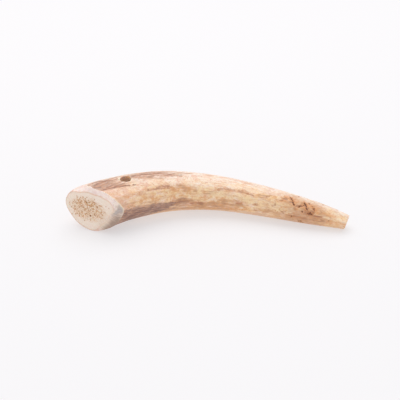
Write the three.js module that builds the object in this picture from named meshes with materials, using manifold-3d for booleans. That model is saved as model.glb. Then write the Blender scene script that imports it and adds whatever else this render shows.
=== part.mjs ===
// A piece of deer antler: one tine, sawn off at the thick end and again near the point, lying on its side.
// Millimetres, +Z up. The tine runs from the sawn base at -X to the tip at +X and curves in the
// horizontal plane, with its hollow side towards -Y. It grew as one bone, so it is one solid.
import * as THREE from "three";
import { mergeVertices } from "three/addons/utils/BufferGeometryUtils.js";
import Module from "manifold-3d";

// ---- Driving dimensions -------------------------------------------------------------------------
// The line through the middle of the tine: x, y and the radius of the section there.
const STATIONS = [
  [-74, -34.72, 14.416],
  [-62, -18.5, 13.612],
  [-50, -6.39, 12.841],
  [-36, 2.27, 12.235],
  [-20, 8.54, 11.478],
  [-4, 10.61, 10.507],
  [12, 9.51, 9.567],
  [28, 5.31, 8.755],
  [44, -0.02, 7.855],
  [58, -5.1, 6.79],
  [68, -8.26, 5.682],
  [78, -11.4, 4.12],
];
const ORIGIN = [4.107, 0.945, -0.555]; // the resting object's bottom centre, in the stations' own coordinates
const OVAL_BASE = 0.124; // how much longer than wide the section is at the base, as a share
const OVAL_TIP = 0.02;
const OVAL_DIRECTION = 160; // degrees round the section, from the hollow side's opposite, of the long way
const CUT_TURN = 65; // degrees from -X towards -Y that the sawn base faces; the saw cut is vertical
const CUT_PLACE = 37; // distance of the saw cut from the stations' zero, along the way it faces
const TIP_FACING = [0.925, -0.305, -0.235]; // the way the small sawn end of the tip faces
const TIP_X = 79.15; // where the tine's middle line meets that end
const TIP_ROUND = 0.55; // how far the tip's edge is rounded off
const HOLE_X = -40.1; // the drilled hole, vertical, right through
const HOLE_Y = -0.3;
const HOLE_DIAMETER = 6;
const HOLE_SIDES = 32;
// The sanded bevel round the sawn base: degrees round the section, how far it reaches back from the
// saw cut, and how far in from the edge it leaves the flat face.
const BEVEL = [
  [-180, 5.4, 2.5],
  [-168, 4.9, 3.4],
  [-155, 3.6, 4.3],
  [-140, 2.4, 4.4],
  [-127, 1.6, 4.0],
  [-112, 1.0, 2.4],
  [-100, 0.8, 0.9],
  [-90, 0.7, 0.6],
  [-70, 0.8, 1.1],
  [-50, 1.0, 1.5],
  [-28, 1.0, 1.5],
  [-11, 0.8, 1.0],
  [3, 0.5, 0.4],
  [17, 0.5, 0.4],
  [29, 0.7, 0.5],
  [40, 2.2, 1.4],
  [50, 4.6, 3.1],
  [60, 4.4, 3.2],
  [75, 2.4, 2.9],
  [90, 1.2, 2.9],
  [105, 1.3, 2.9],
  [120, 1.6, 2.8],
  [133, 1.8, 2.5],
  [145, 2.2, 1.8],
  [155, 3.0, 0.9],
  [165, 4.0, 1.2],
  [173, 4.8, 1.9],
];
// Two flats whittled along the tip, either side of a soft edge that faces the hollow side.
const FLATS = [
  { at: 122, depth: 0.13 },
  { at: -166, depth: 0.13 },
];
const SIDES = 48; // points round each ring
const RINGS = 62; // rings along the skin

// ---- Small helpers ------------------------------------------------------------------------------
const rad = THREE.MathUtils.degToRad;
const smooth = (t) => {
  const c = THREE.MathUtils.clamp(t, 0, 1);
  return c * c * (3 - 2 * c);
};
const apart = (f, deg) => {
  let d = THREE.MathUtils.radToDeg(f) - deg;
  d -= 360 * Math.round(d / 360);
  return Math.abs(d);
};

// A natural cubic spline through the stations, straight beyond its two ends.
function spline(xs, ys) {
  const n = xs.length;
  const h = xs.slice(1).map((x, i) => x - xs[i]);
  const c = new Array(n).fill(0);
  const d = new Array(n).fill(0);
  const m = new Array(n).fill(0);
  for (let i = 1; i < n - 1; i++) {
    const a = i === 1 ? 0 : h[i - 1];
    const b = 2 * (h[i - 1] + h[i]);
    const r = 6 * ((ys[i + 1] - ys[i]) / h[i] - (ys[i] - ys[i - 1]) / h[i - 1]);
    const w = b - a * c[i - 1];
    c[i] = h[i] / w;
    d[i] = (r - a * d[i - 1]) / w;
  }
  for (let i = n - 2; i > 0; i--) m[i] = d[i] - c[i] * m[i + 1];
  const slope0 = (ys[1] - ys[0]) / h[0] - (h[0] * m[1]) / 6;
  const slope1 = (ys[n - 1] - ys[n - 2]) / h[n - 2] + (h[n - 2] * m[n - 2]) / 6;
  return (x) => {
    if (x < xs[0]) return ys[0] + slope0 * (x - xs[0]);
    if (x > xs[n - 1]) return ys[n - 1] + slope1 * (x - xs[n - 1]);
    let i = 0;
    while (i < n - 2 && x > xs[i + 1]) i++;
    const p = x - xs[i];
    const q = xs[i + 1] - x;
    return (
      (m[i] * q ** 3 + m[i + 1] * p ** 3) / (6 * h[i]) +
      (ys[i] / h[i] - (m[i] * h[i]) / 6) * q +
      (ys[i + 1] / h[i] - (m[i + 1] * h[i]) / 6) * p
    );
  };
}
const xs = STATIONS.map((s) => s[0]);
const middleY = spline(xs, STATIONS.map((s) => s[1]));
const radiusAt = spline(xs, STATIONS.map((s) => s[2]));

// ---- The tine's skin ----------------------------------------------------------------------------
const ovalAt = (x) =>
  OVAL_TIP + (OVAL_BASE - OVAL_TIP) * smooth((-15 - x) / 45);

// The middle line lies as high as the section reaches below it, so the tine rests along its length.
function middle(x) {
  const r = radiusAt(x);
  const a = rad(OVAL_DIRECTION);
  const z = Math.hypot((1 + ovalAt(x)) * r * Math.sin(a), r * Math.cos(a));
  return new THREE.Vector3(x, middleY(x), z);
}

function frameAt(x) {
  const along = middle(x + 0.01).sub(middle(x - 0.01)).normalize();
  const out = new THREE.Vector3(0, 0, 1).cross(along).normalize();
  return { at: middle(x), out, up: along.clone().cross(out) };
}

function reach(x, f) {
  const c = Math.cos(f - rad(OVAL_DIRECTION));
  const s = Math.sin(f - rad(OVAL_DIRECTION));
  let q = radiusAt(x) / Math.hypot(c / (1 + ovalAt(x)), s);
  // the base is flattened on its upper front and a little full underneath
  const base = smooth((-34 - x) / 20);
  q += base * -1.3 * Math.exp(-((apart(f, 100) / 32) ** 2));
  q += base * 0.5 * Math.exp(-((apart(f, -80) / 40) ** 2));
  q += base * 0.5 * Math.exp(-((apart(f, 12) / 30) ** 2));
  // shallow ridges run along the tine and fade towards its tip
  const fade = 1 - 0.6 * smooth((x + 60) / 140);
  q += fade * 0.11 * Math.cos(5 * f + 1 + 0.012 * x);
  q += fade * 0.08 * Math.cos(8 * f - 0.6 - 0.02 * x);
  const whittled = smooth((x - 64) / 13);
  for (const { at, depth } of FLATS) {
    const turn = apart(f, at);
    if (turn > 80) continue;
    const flat = (radiusAt(x) * (1 - depth * whittled)) / Math.cos(rad(turn));
    const k = 0.25;
    const h = Math.max(0, k - Math.abs(q - flat)) / k;
    q = Math.min(q, flat + 0.25 * (1 - whittled)) - (whittled * h * h * k) / 4;
  }
  return q;
}

function skin(x, f) {
  const { at, out, up } = frameAt(x);
  const q = reach(x, f);
  return at
    .addScaledVector(out, q * Math.cos(f))
    .addScaledVector(up, q * Math.sin(f));
}

// ---- The two sawn ends --------------------------------------------------------------------------
const cutFacing = new THREE.Vector3(
  -Math.cos(rad(CUT_TURN)),
  -Math.sin(rad(CUT_TURN)),
  0,
);
const tipFacing = new THREE.Vector3(...TIP_FACING).normalize();
const tipPlace = middle(TIP_X).dot(tipFacing);

// The x at which the skin line f lies `back` behind a plane.
function meet(f, facing, place, back, lo, hi) {
  for (let i = 0; i < 48; i++) {
    const m = (lo + hi) / 2;
    const beyond = skin(m, f).dot(facing) - place + back;
    if (beyond > 0 === facing.x < 0) lo = m;
    else hi = m;
  }
  return (lo + hi) / 2;
}
const baseX = (f, back) => meet(f, cutFacing, CUT_PLACE, back, -90, -20);
const tipX = (f, back) => meet(f, tipFacing, tipPlace, back, 60, 95);

// Reach back and inset of the bevel, from the table, evened out over a few degrees.
function bevelAt(f, column) {
  const n = BEVEL.length;
  const one = (deg) => {
    let d = deg - 360 * Math.floor((deg + 180) / 360);
    let i = n - 1;
    while (BEVEL[i][0] > d) i--;
    const a = BEVEL[i];
    const b = BEVEL[(i + 1) % n];
    const span = (i === n - 1 ? b[0] + 360 : b[0]) - a[0];
    return a[column] + ((b[column] - a[column]) * (d - a[0])) / span;
  };
  const deg = THREE.MathUtils.radToDeg(f);
  return [-8, -4, 0, 4, 8].reduce((sum, o) => sum + one(deg + o), 0) / 5;
}

const angles = Array.from({ length: SIDES }, (_, j) => (2 * Math.PI * j) / SIDES - Math.PI);
const rim = angles.map((f) => skin(baseX(f, 0), f));
const faceCentre = rim
  .reduce((sum, p) => sum.add(p), new THREE.Vector3())
  .divideScalar(SIDES);
const tipRim = angles.map((f) => skin(tipX(f, 0), f));
const tipCentre = tipRim
  .reduce((sum, p) => sum.add(p), new THREE.Vector3())
  .divideScalar(SIDES);

// Rings from the flat face, over the bevel, along the skin and over the rounded edge of the tip.
const rings = [];
const faceEdge = angles.map((f, j) =>
  rim[j].clone().add(
    faceCentre.clone().sub(rim[j]).setLength(bevelAt(f, 2)),
  ),
);
const skinStart = angles.map((f) => baseX(f, bevelAt(f, 1)));
const skinEnd = angles.map((f) => tipX(f, TIP_ROUND));
rings.push(faceEdge);
for (const t of [0.33, 0.67]) {
  rings.push(
    angles.map((f, j) => {
      const p = faceEdge[j].clone().lerp(skin(skinStart[j], f), t);
      return p.lerp(rim[j], 0.05 * 4 * t * (1 - t));
    }),
  );
}
const x0 = skinStart.reduce((a, b) => a + b) / SIDES;
const x1 = skinEnd.reduce((a, b) => a + b) / SIDES;
for (let i = 0; i <= RINGS; i++) {
  const u = i / RINGS;
  rings.push(
    angles.map((f, j) => {
      const x =
        x0 +
        (x1 - x0) * u +
        (skinStart[j] - x0) * (1 - u) ** 4 +
        (skinEnd[j] - x1) * u ** 4;
      return skin(x, f);
    }),
  );
}
for (const t of [0.5, 1]) {
  rings.push(
    angles.map((f, j) => {
      const edge = skin(skinEnd[j], f);
      const inner = tipRim[j].clone().add(
        tipCentre.clone().sub(tipRim[j]).setLength(TIP_ROUND),
      );
      return edge.lerp(inner, t).lerp(tipRim[j], 0.3 * 4 * t * (1 - t));
    }),
  );
}

// ---- One closed surface -------------------------------------------------------------------------
const positions = [];
const put = (p) =>
  positions.push(p.x - ORIGIN[0], p.y - ORIGIN[1], p.z - ORIGIN[2]) / 3 - 1;
const index = [];
const first = put(faceCentre);
const rows = rings.map((ring) => ring.map(put));
const last = put(tipCentre);
for (let j = 0; j < SIDES; j++) {
  const k = (j + 1) % SIDES;
  index.push(first, rows[0][k], rows[0][j]);
  for (let i = 0; i + 1 < rows.length; i++) {
    index.push(rows[i][j], rows[i][k], rows[i + 1][j]);
    index.push(rows[i][k], rows[i + 1][k], rows[i + 1][j]);
  }
  const end = rows[rows.length - 1];
  index.push(last, end[j], end[k]);
}
const tine = new THREE.BufferGeometry();
tine.setAttribute("position", new THREE.Float32BufferAttribute(positions, 3));
tine.setIndex(index);

// ---- The drilled hole ---------------------------------------------------------------------------
const wasm = await Module();
wasm.setup();

function solid(geometry) {
  const g = geometry.clone();
  g.deleteAttribute("normal");
  g.deleteAttribute("uv");
  const merged = mergeVertices(g, 1e-4);
  return new wasm.Manifold(
    new wasm.Mesh({
      numProp: 3,
      vertProperties: merged.attributes.position.array,
      triVerts: new Uint32Array(merged.index.array),
    }),
  );
}

function geometryOf(manifold) {
  const m = manifold.getMesh();
  const g = new THREE.BufferGeometry();
  g.setAttribute("position", new THREE.BufferAttribute(new Float32Array(m.vertProperties), 3));
  g.setIndex(new THREE.BufferAttribute(new Uint32Array(m.triVerts), 1));
  g.computeVertexNormals();
  return g;
}

const drill = new THREE.CylinderGeometry(
  HOLE_DIAMETER / 2,
  HOLE_DIAMETER / 2,
  60,
  HOLE_SIDES,
)
  .rotateX(Math.PI / 2)
  .translate(HOLE_X - ORIGIN[0], HOLE_Y - ORIGIN[1], 0);

const antler = new THREE.Mesh(
  geometryOf(solid(tine).subtract(solid(drill))),
  new THREE.MeshStandardMaterial({
    color: 0xdcb892,
    roughness: 0.62,
    metalness: 0,
  }),
);
antler.name = "antler";

const group = new THREE.Group();
group.add(antler);

export default group;
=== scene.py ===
"""A sawn-off deer antler tine, lying on its side: its finish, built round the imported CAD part.

The CAD solid's own surface is made again here at a finer grain, with the grooves, cracks, pits, pores and chips of
the real skin, sawn face and drilled hole cut into it. Millimetres inside this script, metres in Blender.
"""
import math

import bpy
import numpy as np
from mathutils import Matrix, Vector
from mathutils.geometry import delaunay_2d_cdt


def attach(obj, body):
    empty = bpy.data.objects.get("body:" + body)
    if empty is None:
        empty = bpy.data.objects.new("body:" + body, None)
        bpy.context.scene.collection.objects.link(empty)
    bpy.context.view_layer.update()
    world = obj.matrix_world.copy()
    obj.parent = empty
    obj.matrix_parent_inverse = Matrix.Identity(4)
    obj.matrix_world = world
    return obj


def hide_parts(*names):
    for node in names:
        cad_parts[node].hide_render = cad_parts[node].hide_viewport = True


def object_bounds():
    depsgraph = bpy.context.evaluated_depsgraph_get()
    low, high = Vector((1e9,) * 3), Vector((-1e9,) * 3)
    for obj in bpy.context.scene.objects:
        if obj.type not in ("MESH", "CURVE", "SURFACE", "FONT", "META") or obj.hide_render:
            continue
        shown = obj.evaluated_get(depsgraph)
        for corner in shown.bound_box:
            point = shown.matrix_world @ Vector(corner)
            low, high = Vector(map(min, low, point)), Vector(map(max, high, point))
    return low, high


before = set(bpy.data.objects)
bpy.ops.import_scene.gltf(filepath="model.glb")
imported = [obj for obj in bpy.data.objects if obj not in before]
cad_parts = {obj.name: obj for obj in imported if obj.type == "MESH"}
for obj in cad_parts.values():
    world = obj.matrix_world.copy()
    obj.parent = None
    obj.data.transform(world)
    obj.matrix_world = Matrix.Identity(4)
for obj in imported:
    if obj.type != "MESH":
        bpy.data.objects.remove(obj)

cad_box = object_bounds()

# =================================================================================================
# The tine's surface, as the CAD has it, in the stations' own millimetres
# =================================================================================================
STATIONS = np.array([
    (-74, -34.72, 14.416), (-62, -18.5, 13.612), (-50, -6.39, 12.841), (-36, 2.27, 12.235),
    (-20, 8.54, 11.478), (-4, 10.61, 10.507), (12, 9.51, 9.567), (28, 5.31, 8.755),
    (44, -0.02, 7.855), (58, -5.1, 6.79), (68, -8.26, 5.682), (78, -11.4, 4.12)])
ORIGIN = np.array([4.107, 0.945, -0.555])
OVAL_BASE, OVAL_TIP, OVAL_DIR = 0.124, 0.02, np.radians(160)
CUT_TURN, CUT_PLACE = np.radians(65), 37.0
CUT_FACING = np.array([-np.cos(CUT_TURN), -np.sin(CUT_TURN), 0.0])
TIP_FACING = np.array([0.925, -0.305, -0.235])
TIP_FACING /= np.linalg.norm(TIP_FACING)
TIP_X, TIP_ROUND = 79.15, 0.55
HOLE_X, HOLE_Y, HOLE_R = -40.1, -0.3, 3.0
BEVEL = np.array([
    (-180, 5.4, 2.5), (-168, 4.9, 3.4), (-155, 3.6, 4.3), (-140, 2.4, 4.4), (-127, 1.6, 4.0),
    (-112, 1.0, 2.4), (-100, 0.8, 0.9), (-90, 0.7, 0.6), (-70, 0.8, 1.1), (-50, 1.0, 1.5),
    (-28, 1.0, 1.5), (-11, 0.8, 1.0), (3, 0.5, 0.4), (17, 0.5, 0.4), (29, 0.7, 0.5), (40, 2.2, 1.4),
    (50, 4.6, 3.1), (60, 4.4, 3.2), (75, 2.4, 2.9), (90, 1.2, 2.9), (105, 1.3, 2.9), (120, 1.6, 2.8),
    (133, 1.8, 2.5), (145, 2.2, 1.8), (155, 3.0, 0.9), (165, 4.0, 1.2), (173, 4.8, 1.9)])
FLATS = ((122, 0.13), (-166, 0.13))


def natural_spline(xs, ys):
    n, h = len(xs), np.diff(xs)
    a, b = np.eye(n), np.zeros(n)
    for i in range(1, n - 1):
        a[i, i - 1], a[i, i], a[i, i + 1] = h[i - 1], 2 * (h[i - 1] + h[i]), h[i]
        b[i] = 6 * ((ys[i + 1] - ys[i]) / h[i] - (ys[i] - ys[i - 1]) / h[i - 1])
    m = np.linalg.solve(a, b)
    start = (ys[1] - ys[0]) / h[0] - h[0] * m[1] / 6
    end = (ys[-1] - ys[-2]) / h[-1] + h[-1] * m[-2] / 6

    def at(x):
        x = np.asarray(x, float)
        i = np.clip(np.searchsorted(xs, x) - 1, 0, n - 2)
        p, q, w = x - xs[i], xs[i + 1] - x, h[i]
        v = (m[i] * q**3 + m[i + 1] * p**3) / (6 * w) + (ys[i] / w - m[i] * w / 6) * q + (ys[i + 1] / w - m[i + 1] * w / 6) * p
        v = np.where(x < xs[0], ys[0] + start * (x - xs[0]), v)
        return np.where(x > xs[-1], ys[-1] + end * (x - xs[-1]), v)

    return at


middle_y = natural_spline(STATIONS[:, 0], STATIONS[:, 1])
radius_at = natural_spline(STATIONS[:, 0], STATIONS[:, 2])


def smooth(t):
    t = np.clip(t, 0, 1)
    return t * t * (3 - 2 * t)


def apart(f, deg):
    """How far the angle f, in radians, is from deg, in degrees."""
    d = np.degrees(f) - deg
    return np.abs(d - 360 * np.round(d / 360))


def oval_at(x):
    return OVAL_TIP + (OVAL_BASE - OVAL_TIP) * smooth((-15 - x) / 45)


def middle(x):
    r = radius_at(x)
    z = np.hypot((1 + oval_at(x)) * r * np.sin(OVAL_DIR), r * np.cos(OVAL_DIR))
    return np.stack([x, middle_y(x), z], -1)


def reach(x, f):
    c, s = np.cos(f - OVAL_DIR), np.sin(f - OVAL_DIR)
    q = radius_at(x) / np.hypot(c / (1 + oval_at(x)), s)
    base = smooth((-34 - x) / 20)
    q = q + base * (
        -1.3 * np.exp(-((apart(f, 100) / 32) ** 2))
        + 0.5 * np.exp(-((apart(f, -80) / 40) ** 2))
        + 0.5 * np.exp(-((apart(f, 12) / 30) ** 2))
    )
    fade = 1 - 0.6 * smooth((x + 60) / 140)
    q = q + fade * (0.11 * np.cos(5 * f + 1 + 0.012 * x) + 0.08 * np.cos(8 * f - 0.6 - 0.02 * x))
    whittled = smooth((x - 64) / 13)
    for at, depth in FLATS:
        turn = apart(f, at)
        flat = radius_at(x) * (1 - depth * whittled) / np.cos(np.radians(np.minimum(turn, 80)))
        k = 0.25
        h = np.maximum(0, k - np.abs(q - flat)) / k
        cut = np.minimum(q, flat + 0.25 * (1 - whittled)) - whittled * h * h * k / 4
        q = np.where(turn <= 80, cut, q)
    return q


def frame_at(x):
    at = middle(x)
    along = middle(x + 0.01) - middle(x - 0.01)
    along /= np.linalg.norm(along, axis=-1, keepdims=True)
    out = np.stack([-along[..., 1], along[..., 0], 0 * along[..., 0]], -1)
    out /= np.linalg.norm(out, axis=-1, keepdims=True)
    return at, along, out, np.cross(along, out)


def skin(x, f):
    x, f = np.broadcast_arrays(np.asarray(x, float), np.asarray(f, float))
    at, _, out, up = frame_at(x)
    q = reach(x, f)
    return at + (q * np.cos(f))[..., None] * out + (q * np.sin(f))[..., None] * up


def meet(f, facing, place, back, lo, hi):
    """The x at which skin line f lies back behind a plane."""
    lo, hi = np.full(np.shape(f), float(lo)), np.full(np.shape(f), float(hi))
    for _ in range(44):
        m = (lo + hi) / 2
        first = (skin(m, f) @ facing - place + back > 0) == (facing[0] < 0)
        lo, hi = np.where(first, m, lo), np.where(first, hi, m)
    return (lo + hi) / 2


TIP_PLACE = middle(np.array(TIP_X)) @ TIP_FACING


def base_x(f, back):
    return meet(f, CUT_FACING, CUT_PLACE, back, -90, -20)


def tip_x(f, back):
    return meet(f, TIP_FACING, TIP_PLACE, back, 60, 95)


def bevel_at(f, column):
    """Reach back (1) or inset (2) of the bevel, from the table, evened out over a few degrees."""
    deg = np.degrees(f)
    return sum(np.interp(deg + o, BEVEL[:, 0], BEVEL[:, column], period=360) for o in (-8, -4, 0, 4, 8)) / 5


# =================================================================================================
# Noise, the same on every run
# =================================================================================================
def _hash(i, j, k, seed):
    h = (i * 374761393 + j * 668265263 + k * 1440662683 + seed * 974711) & 0xFFFFFFFF
    h = ((h ^ (h >> 13)) * 1274126177) & 0xFFFFFFFF
    h = ((h ^ (h >> 16)) * 2246822519) & 0xFFFFFFFF
    return h ^ (h >> 15)


def noise(p, seed=0):
    """Gradient noise of points p, about -1 to 1."""
    p = np.asarray(p, float)
    cell = np.floor(p).astype(np.int64)
    t = p - cell
    w = t * t * t * (t * (6 * t - 15) + 10)
    total = 0
    for a in (0, 1):
        for b in (0, 1):
            for c in (0, 1):
                h = _hash(cell[..., 0] + a, cell[..., 1] + b, cell[..., 2] + c, seed)
                g = np.stack([(h & 1023) / 511.5 - 1, ((h >> 10) & 1023) / 511.5 - 1, ((h >> 20) & 1023) / 511.5 - 1], -1)
                near = (g * (t - (a, b, c))).sum(-1)
                total = total + near * (w[..., 0] if a else 1 - w[..., 0]) * (w[..., 1] if b else 1 - w[..., 1]) * (w[..., 2] if c else 1 - w[..., 2])
    return total * 1.3


def fbm(p, seed=0, octaves=3, gain=0.5):
    total, weight, amount = 0, 1.0, 0.0
    for o in range(octaves):
        total = total + weight * noise(np.asarray(p) * 2**o + 17.3 * o, seed + 31 * o)
        amount += weight
        weight *= gain
    return total / amount


# Straightened coordinates: distance along the tine, and a circle round it that narrows less than the tine does.
_xs = np.linspace(-92, 96, 3761)
_ms = middle(_xs)
_ss = np.concatenate([[0], np.cumsum(np.linalg.norm(np.diff(_ms, axis=0), axis=1))])
_ss -= np.interp(0, _xs, _ss)


def along_at(x):
    return np.interp(x, _xs, _ss)


def grain_of(x, f):
    w = 10 * (np.maximum(radius_at(x), 2) / 10) ** 0.6
    return np.stack([along_at(x), w * np.cos(f), w * np.sin(f)], -1)


# =================================================================================================
# What lies where on the skin: strokes of (x, degrees round, half width in mm)
# =================================================================================================
GROOVES = [  # brown left in the hollows that the sanding didn't reach
    (1.0, [(-57.8, 77, 0.5), (-56.5, 71, 0.6), (-54.5, 68, 0.5), (-52.2, 66, 0.3)]),
    (1.0, [(-55.5, 82, 0.3), (-53.4, 79, 0.55), (-51.3, 78, 0.7), (-49.3, 79, 0.6), (-46.8, 82, 0.45), (-44.6, 84, 0.3)]),
    (0.5, [(-57.5, 93, 0.3), (-54.5, 92, 0.5), (-51.5, 92, 0.4), (-49.5, 93, 0.3)]),
    (0.6, [(-49.6, 95, 0.3), (-48.5, 97, 0.45), (-46.9, 100, 0.3)]),
    (1.0, [(-56.0, 112, 0.25), (-53.6, 112, 0.5), (-51.3, 112, 0.6), (-48.7, 113, 0.75), (-46.6, 115.5, 0.6), (-44.4, 117.5, 0.4), (-41.5, 119.5, 0.3), (-37.8, 122.0, 0.2)]),
    (0.5, [(-57.4, 78, 0.3), (-55.4, 75, 0.5), (-53.2, 79, 0.4)]),
    (0.4, [(-51.4, 74, 0.3), (-47.8, 76, 0.5), (-44.2, 78, 0.3)]),
    (0.35, [(-54.8, 101, 0.3), (-51.2, 106, 0.45), (-48.0, 102, 0.3)]),
    (0.75, [(-37.6, 91, 0.4), (-34.4, 89, 0.55), (-31.0, 89, 0.5), (-27.6, 88, 0.5), (-23.8, 90, 0.45), (-19.4, 93, 0.4), (-15.0, 99, 0.3)]),
    (0.34, [(-36.2, 98, 0.45), (-32.3, 96.5, 0.59), (-29.3, 97, 0.39)]),
    (0.5, [(-25.2, 101, 0.3), (-20.2, 100, 0.4), (-16.5, 103, 0.35)]),
    (0.47, [(-16.3, 103, 0.48), (-14, 102.5, 0.75), (-11.2, 101, 0.57)]),
    (0.42, [(-10.3, 74, 0.39), (-8.3, 78, 0.39)]),
    (0.38, [(-3.6, 94, 0.48), (-0.8, 94, 0.65), (2, 96, 0.48)]),
    (0.8, [(-32.6, 142.5, 0.25), (-29.7, 142, 0.35), (-25.9, 142, 0.5), (-21.7, 141.5, 0.55), (-17.6, 141, 0.35)]),
    (0.9, [(-27.2, 138, 0.25), (-23.4, 137, 0.45), (-21.0, 137, 0.5), (-18.9, 137, 0.3)]),
    (0.3, [(8.0, 140, 0.45), (10.9, 139, 0.59)]),
    (0.56, [(10.6, 138, 0.65), (13, 135.5, 0.94), (15.5, 134, 0.94), (18, 133, 0.86), (20, 132, 0.57)]),
    (0.34, [(20.0, 131, 0.39), (22.5, 131, 0.39)]),
    (0.58, [(22.4, 131, 0.65), (24.5, 132, 0.94), (26.6, 132.5, 1.04), (28.4, 134.5, 0.86), (30.5, 136.5, 0.57)]),
    (0.47, [(49.5, 134.5, 0.26), (48.0, 134, 0.65), (46.2, 132, 0.45)]),
    (0.64, [(-5.9, 188.5, 0.65), (-3.6, 189, 0.59), (-0.6, 187.5, 0.39), (2.0, 187, 0.26)]),
    (0.42, [(17.6, 197, 0.52), (20.0, 197.5, 0.72), (22.5, 196.5, 0.45)]),
    (0.59, [(22.2, 175.5, 0.52), (23.8, 175, 0.72), (25.4, 173.5, 0.39)]),
    (0.42, [(52.8, 184, 0.52), (55.9, 183, 0.65), (59.4, 184, 0.52)]),
    (0.8, [(62.6, 164.5, 0.3), (64.6, 161.0, 0.42), (66.5, 157.0, 0.24)]),
    # on the far side
    (0.6, [(-48.0, 20, 0.4), (-40.0, 16, 0.6), (-30.0, 14, 0.5), (-22.0, 15, 0.3)]),
    (0.5, [(-30.0, 38, 0.3), (-18.0, 36, 0.5), (-6.0, 38, 0.4), (4.0, 36, 0.25)]),
    (0.55, [(-12.0, 2, 0.35), (0.0, -2, 0.55), (12.0, -3, 0.5), (22.0, -1, 0.3)]),
    (0.5, [(20.0, 24, 0.3), (30.0, 20, 0.45), (42.0, 20, 0.3)]),
    (0.45, [(34.0, -20, 0.3), (44.0, -24, 0.4), (54.0, -22, 0.25)]),
    (0.5, [(-2.0, -48, 0.4), (12.0, -52, 0.6), (26.0, -50, 0.4)]),
]
STAINS = [  # soft brown areas: (strength, softness, points)
    (0.56, 0.9, [(-58.5, 82, 3.2), (-54.0, 88, 4.0), (-50.0, 90, 4.0), (-46.5, 90, 3.4), (-43.8, 92, 2.4)]),
    (0.5, 0.9, [(-57.0, 103, 2.2), (-53.0, 105, 2.6), (-49.0, 108, 2.2), (-44.0, 112, 1.4)]),
    (0.5, 0.9, [(-58.0, 54, 0.9), (-54.5, 61, 1.3), (-51.0, 66, 1.5)]),
    (0.22, 1.0, [(-46.0, 104, 2.2), (-42.0, 108, 2.4), (-36.0, 105, 3.0), (-28.0, 99, 2.8), (-20.0, 96, 2.2), (-12.0, 95, 1.4)]),
    (0.44, 1.0, [(-51.0, 68, 1.4), (-43.0, 71, 1.6), (-37.0, 76, 2.4), (-31.0, 80, 3.2), (-25.0, 82, 3.2), (-19.0, 85, 2.4), (-13.0, 87, 1.5), (-6.0, 86, 0.8)]),
    (0.24, 1.0, [(-30.0, 98, 1.4), (-24.0, 101, 1.8), (-17.0, 101, 1.6), (-11.0, 100, 1.0), (-4.0, 98, 0.5)]),
    (0.42, 1.0, [(-30.0, 214, 1.0), (-20.0, 212, 1.3), (-10.0, 207, 1.8), (0.0, 208, 1.9), (10.0, 206, 1.9), (18.0, 204, 1.2)]),
    (0.4, 1.0, [(-36.4, 92, 2.2), (-33.0, 92, 2.6), (-28.0, 90, 2.2), (-23.0, 88, 1.4)]),
    (1.0, 0.5, [(-50.5, 216, 8.2), (-47.2, 211, 7.8), (-43.8, 207.5, 6.8), (-39.5, 205, 5.6), (-35.5, 203.5, 5.0), (-31.0, 201.5, 4.4), (-26.5, 198.5, 3.6), (-22.0, 194.5, 2.6), (-18.5, 190.5, 1.7), (-15.5, 187, 0.8)]),
    (0.95, 0.8, [(-17.4, 189, 1.2), (-14.4, 184, 2.0), (-11.4, 180, 2.3), (-9.0, 181, 2.0), (-5.6, 185, 1.6), (-2.2, 189, 1.4), (1.5, 190, 0.9)]),
    (0.55, 1.0, [(-13.8, 134, 1.3), (-11.2, 138, 1.6), (-8.6, 144, 1.9), (-5.2, 147, 1.8), (-2.6, 148, 1.2)]),
    (0.36, 0.9, [(-0.5, 183, 1.4), (4.0, 186, 2.2), (10.0, 187, 2.2), (14.5, 184, 2.2)]),
    (0.5, 0.9, [(14.5, 176, 1.4), (17.5, 177, 2.2), (21.5, 177, 2.6), (25.6, 177, 2.0), (28.4, 178, 1.0)]),
    (0.6, 0.8, [(33.0, 132, 0.8), (35.5, 132.5, 1.2), (37.6, 128.5, 1.1), (39.4, 122, 0.6)]),
    (0.45, 0.8, [(31.6, 167, 0.7), (33.0, 165, 0.8)]),
    (0.35, 1.0, [(2.0, 150, 1.0), (6.0, 150, 1.5), (9.0, 147, 1.0)]),
    (0.55, 0.8, [(62.8, 170, 0.9), (65.4, 175, 1.5), (67.6, 176, 1.0)]),
    (1.0, 0.6, [(58.7, 156, 0.9), (60.0, 156, 1.4), (61.4, 155, 1.3), (62.2, 146, 0.7)]),
    (0.5, 0.9, [(56.3, 151, 0.9), (57.4, 148, 0.9)]),
    (0.42, 1.0, [(50.0, 190, 1.4), (54.0, 194, 1.9), (59.0, 197, 2.4), (64.5, 198, 2.1), (68.0, 196, 1.2)]),
    (0.3, 1.0, [(52.0, 176, 1.6), (56.0, 170, 1.8), (60.0, 172, 1.6)]),
    (0.36, 0.9, [(50.5, 183, 0.6), (54.5, 185, 1.3), (59.0, 188, 1.2)]),
    (0.7, 0.7, [(54.6, 202, 0.6), (55.8, 208, 0.9), (57.3, 216, 0.8)]),
    (0.5, 1.0, [(-50.0, 8, 2.2), (-38.0, 6, 2.8), (-26.0, 8, 2.2), (-14.0, 12, 1.4)]),
    (0.45, 1.0, [(8.0, 10, 1.2), (18.0, 14, 1.8), (30.0, 12, 1.4)]),
    (0.4, 1.0, [(36.0, -10, 1.0), (46.0, -6, 1.4), (56.0, -4, 1.0)]),
    (0.5, 0.8, [(60.0, 30, 0.7), (64.0, 24, 0.9)]),
    (0.35, 1.0, [(-20.0, -30, 1.6), (-4.0, -34, 2.2), (14.0, -30, 1.8), (30.0, -34, 1.2)]),
    (0.4, 1.0, [(44.6, 131, 0.7), (46.0, 124, 0.8)]),
    (0.35, 1.0, [(32.0, 190, 1.0), (38.0, 188, 1.6), (45.0, 190, 1.4)]),
]
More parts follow.
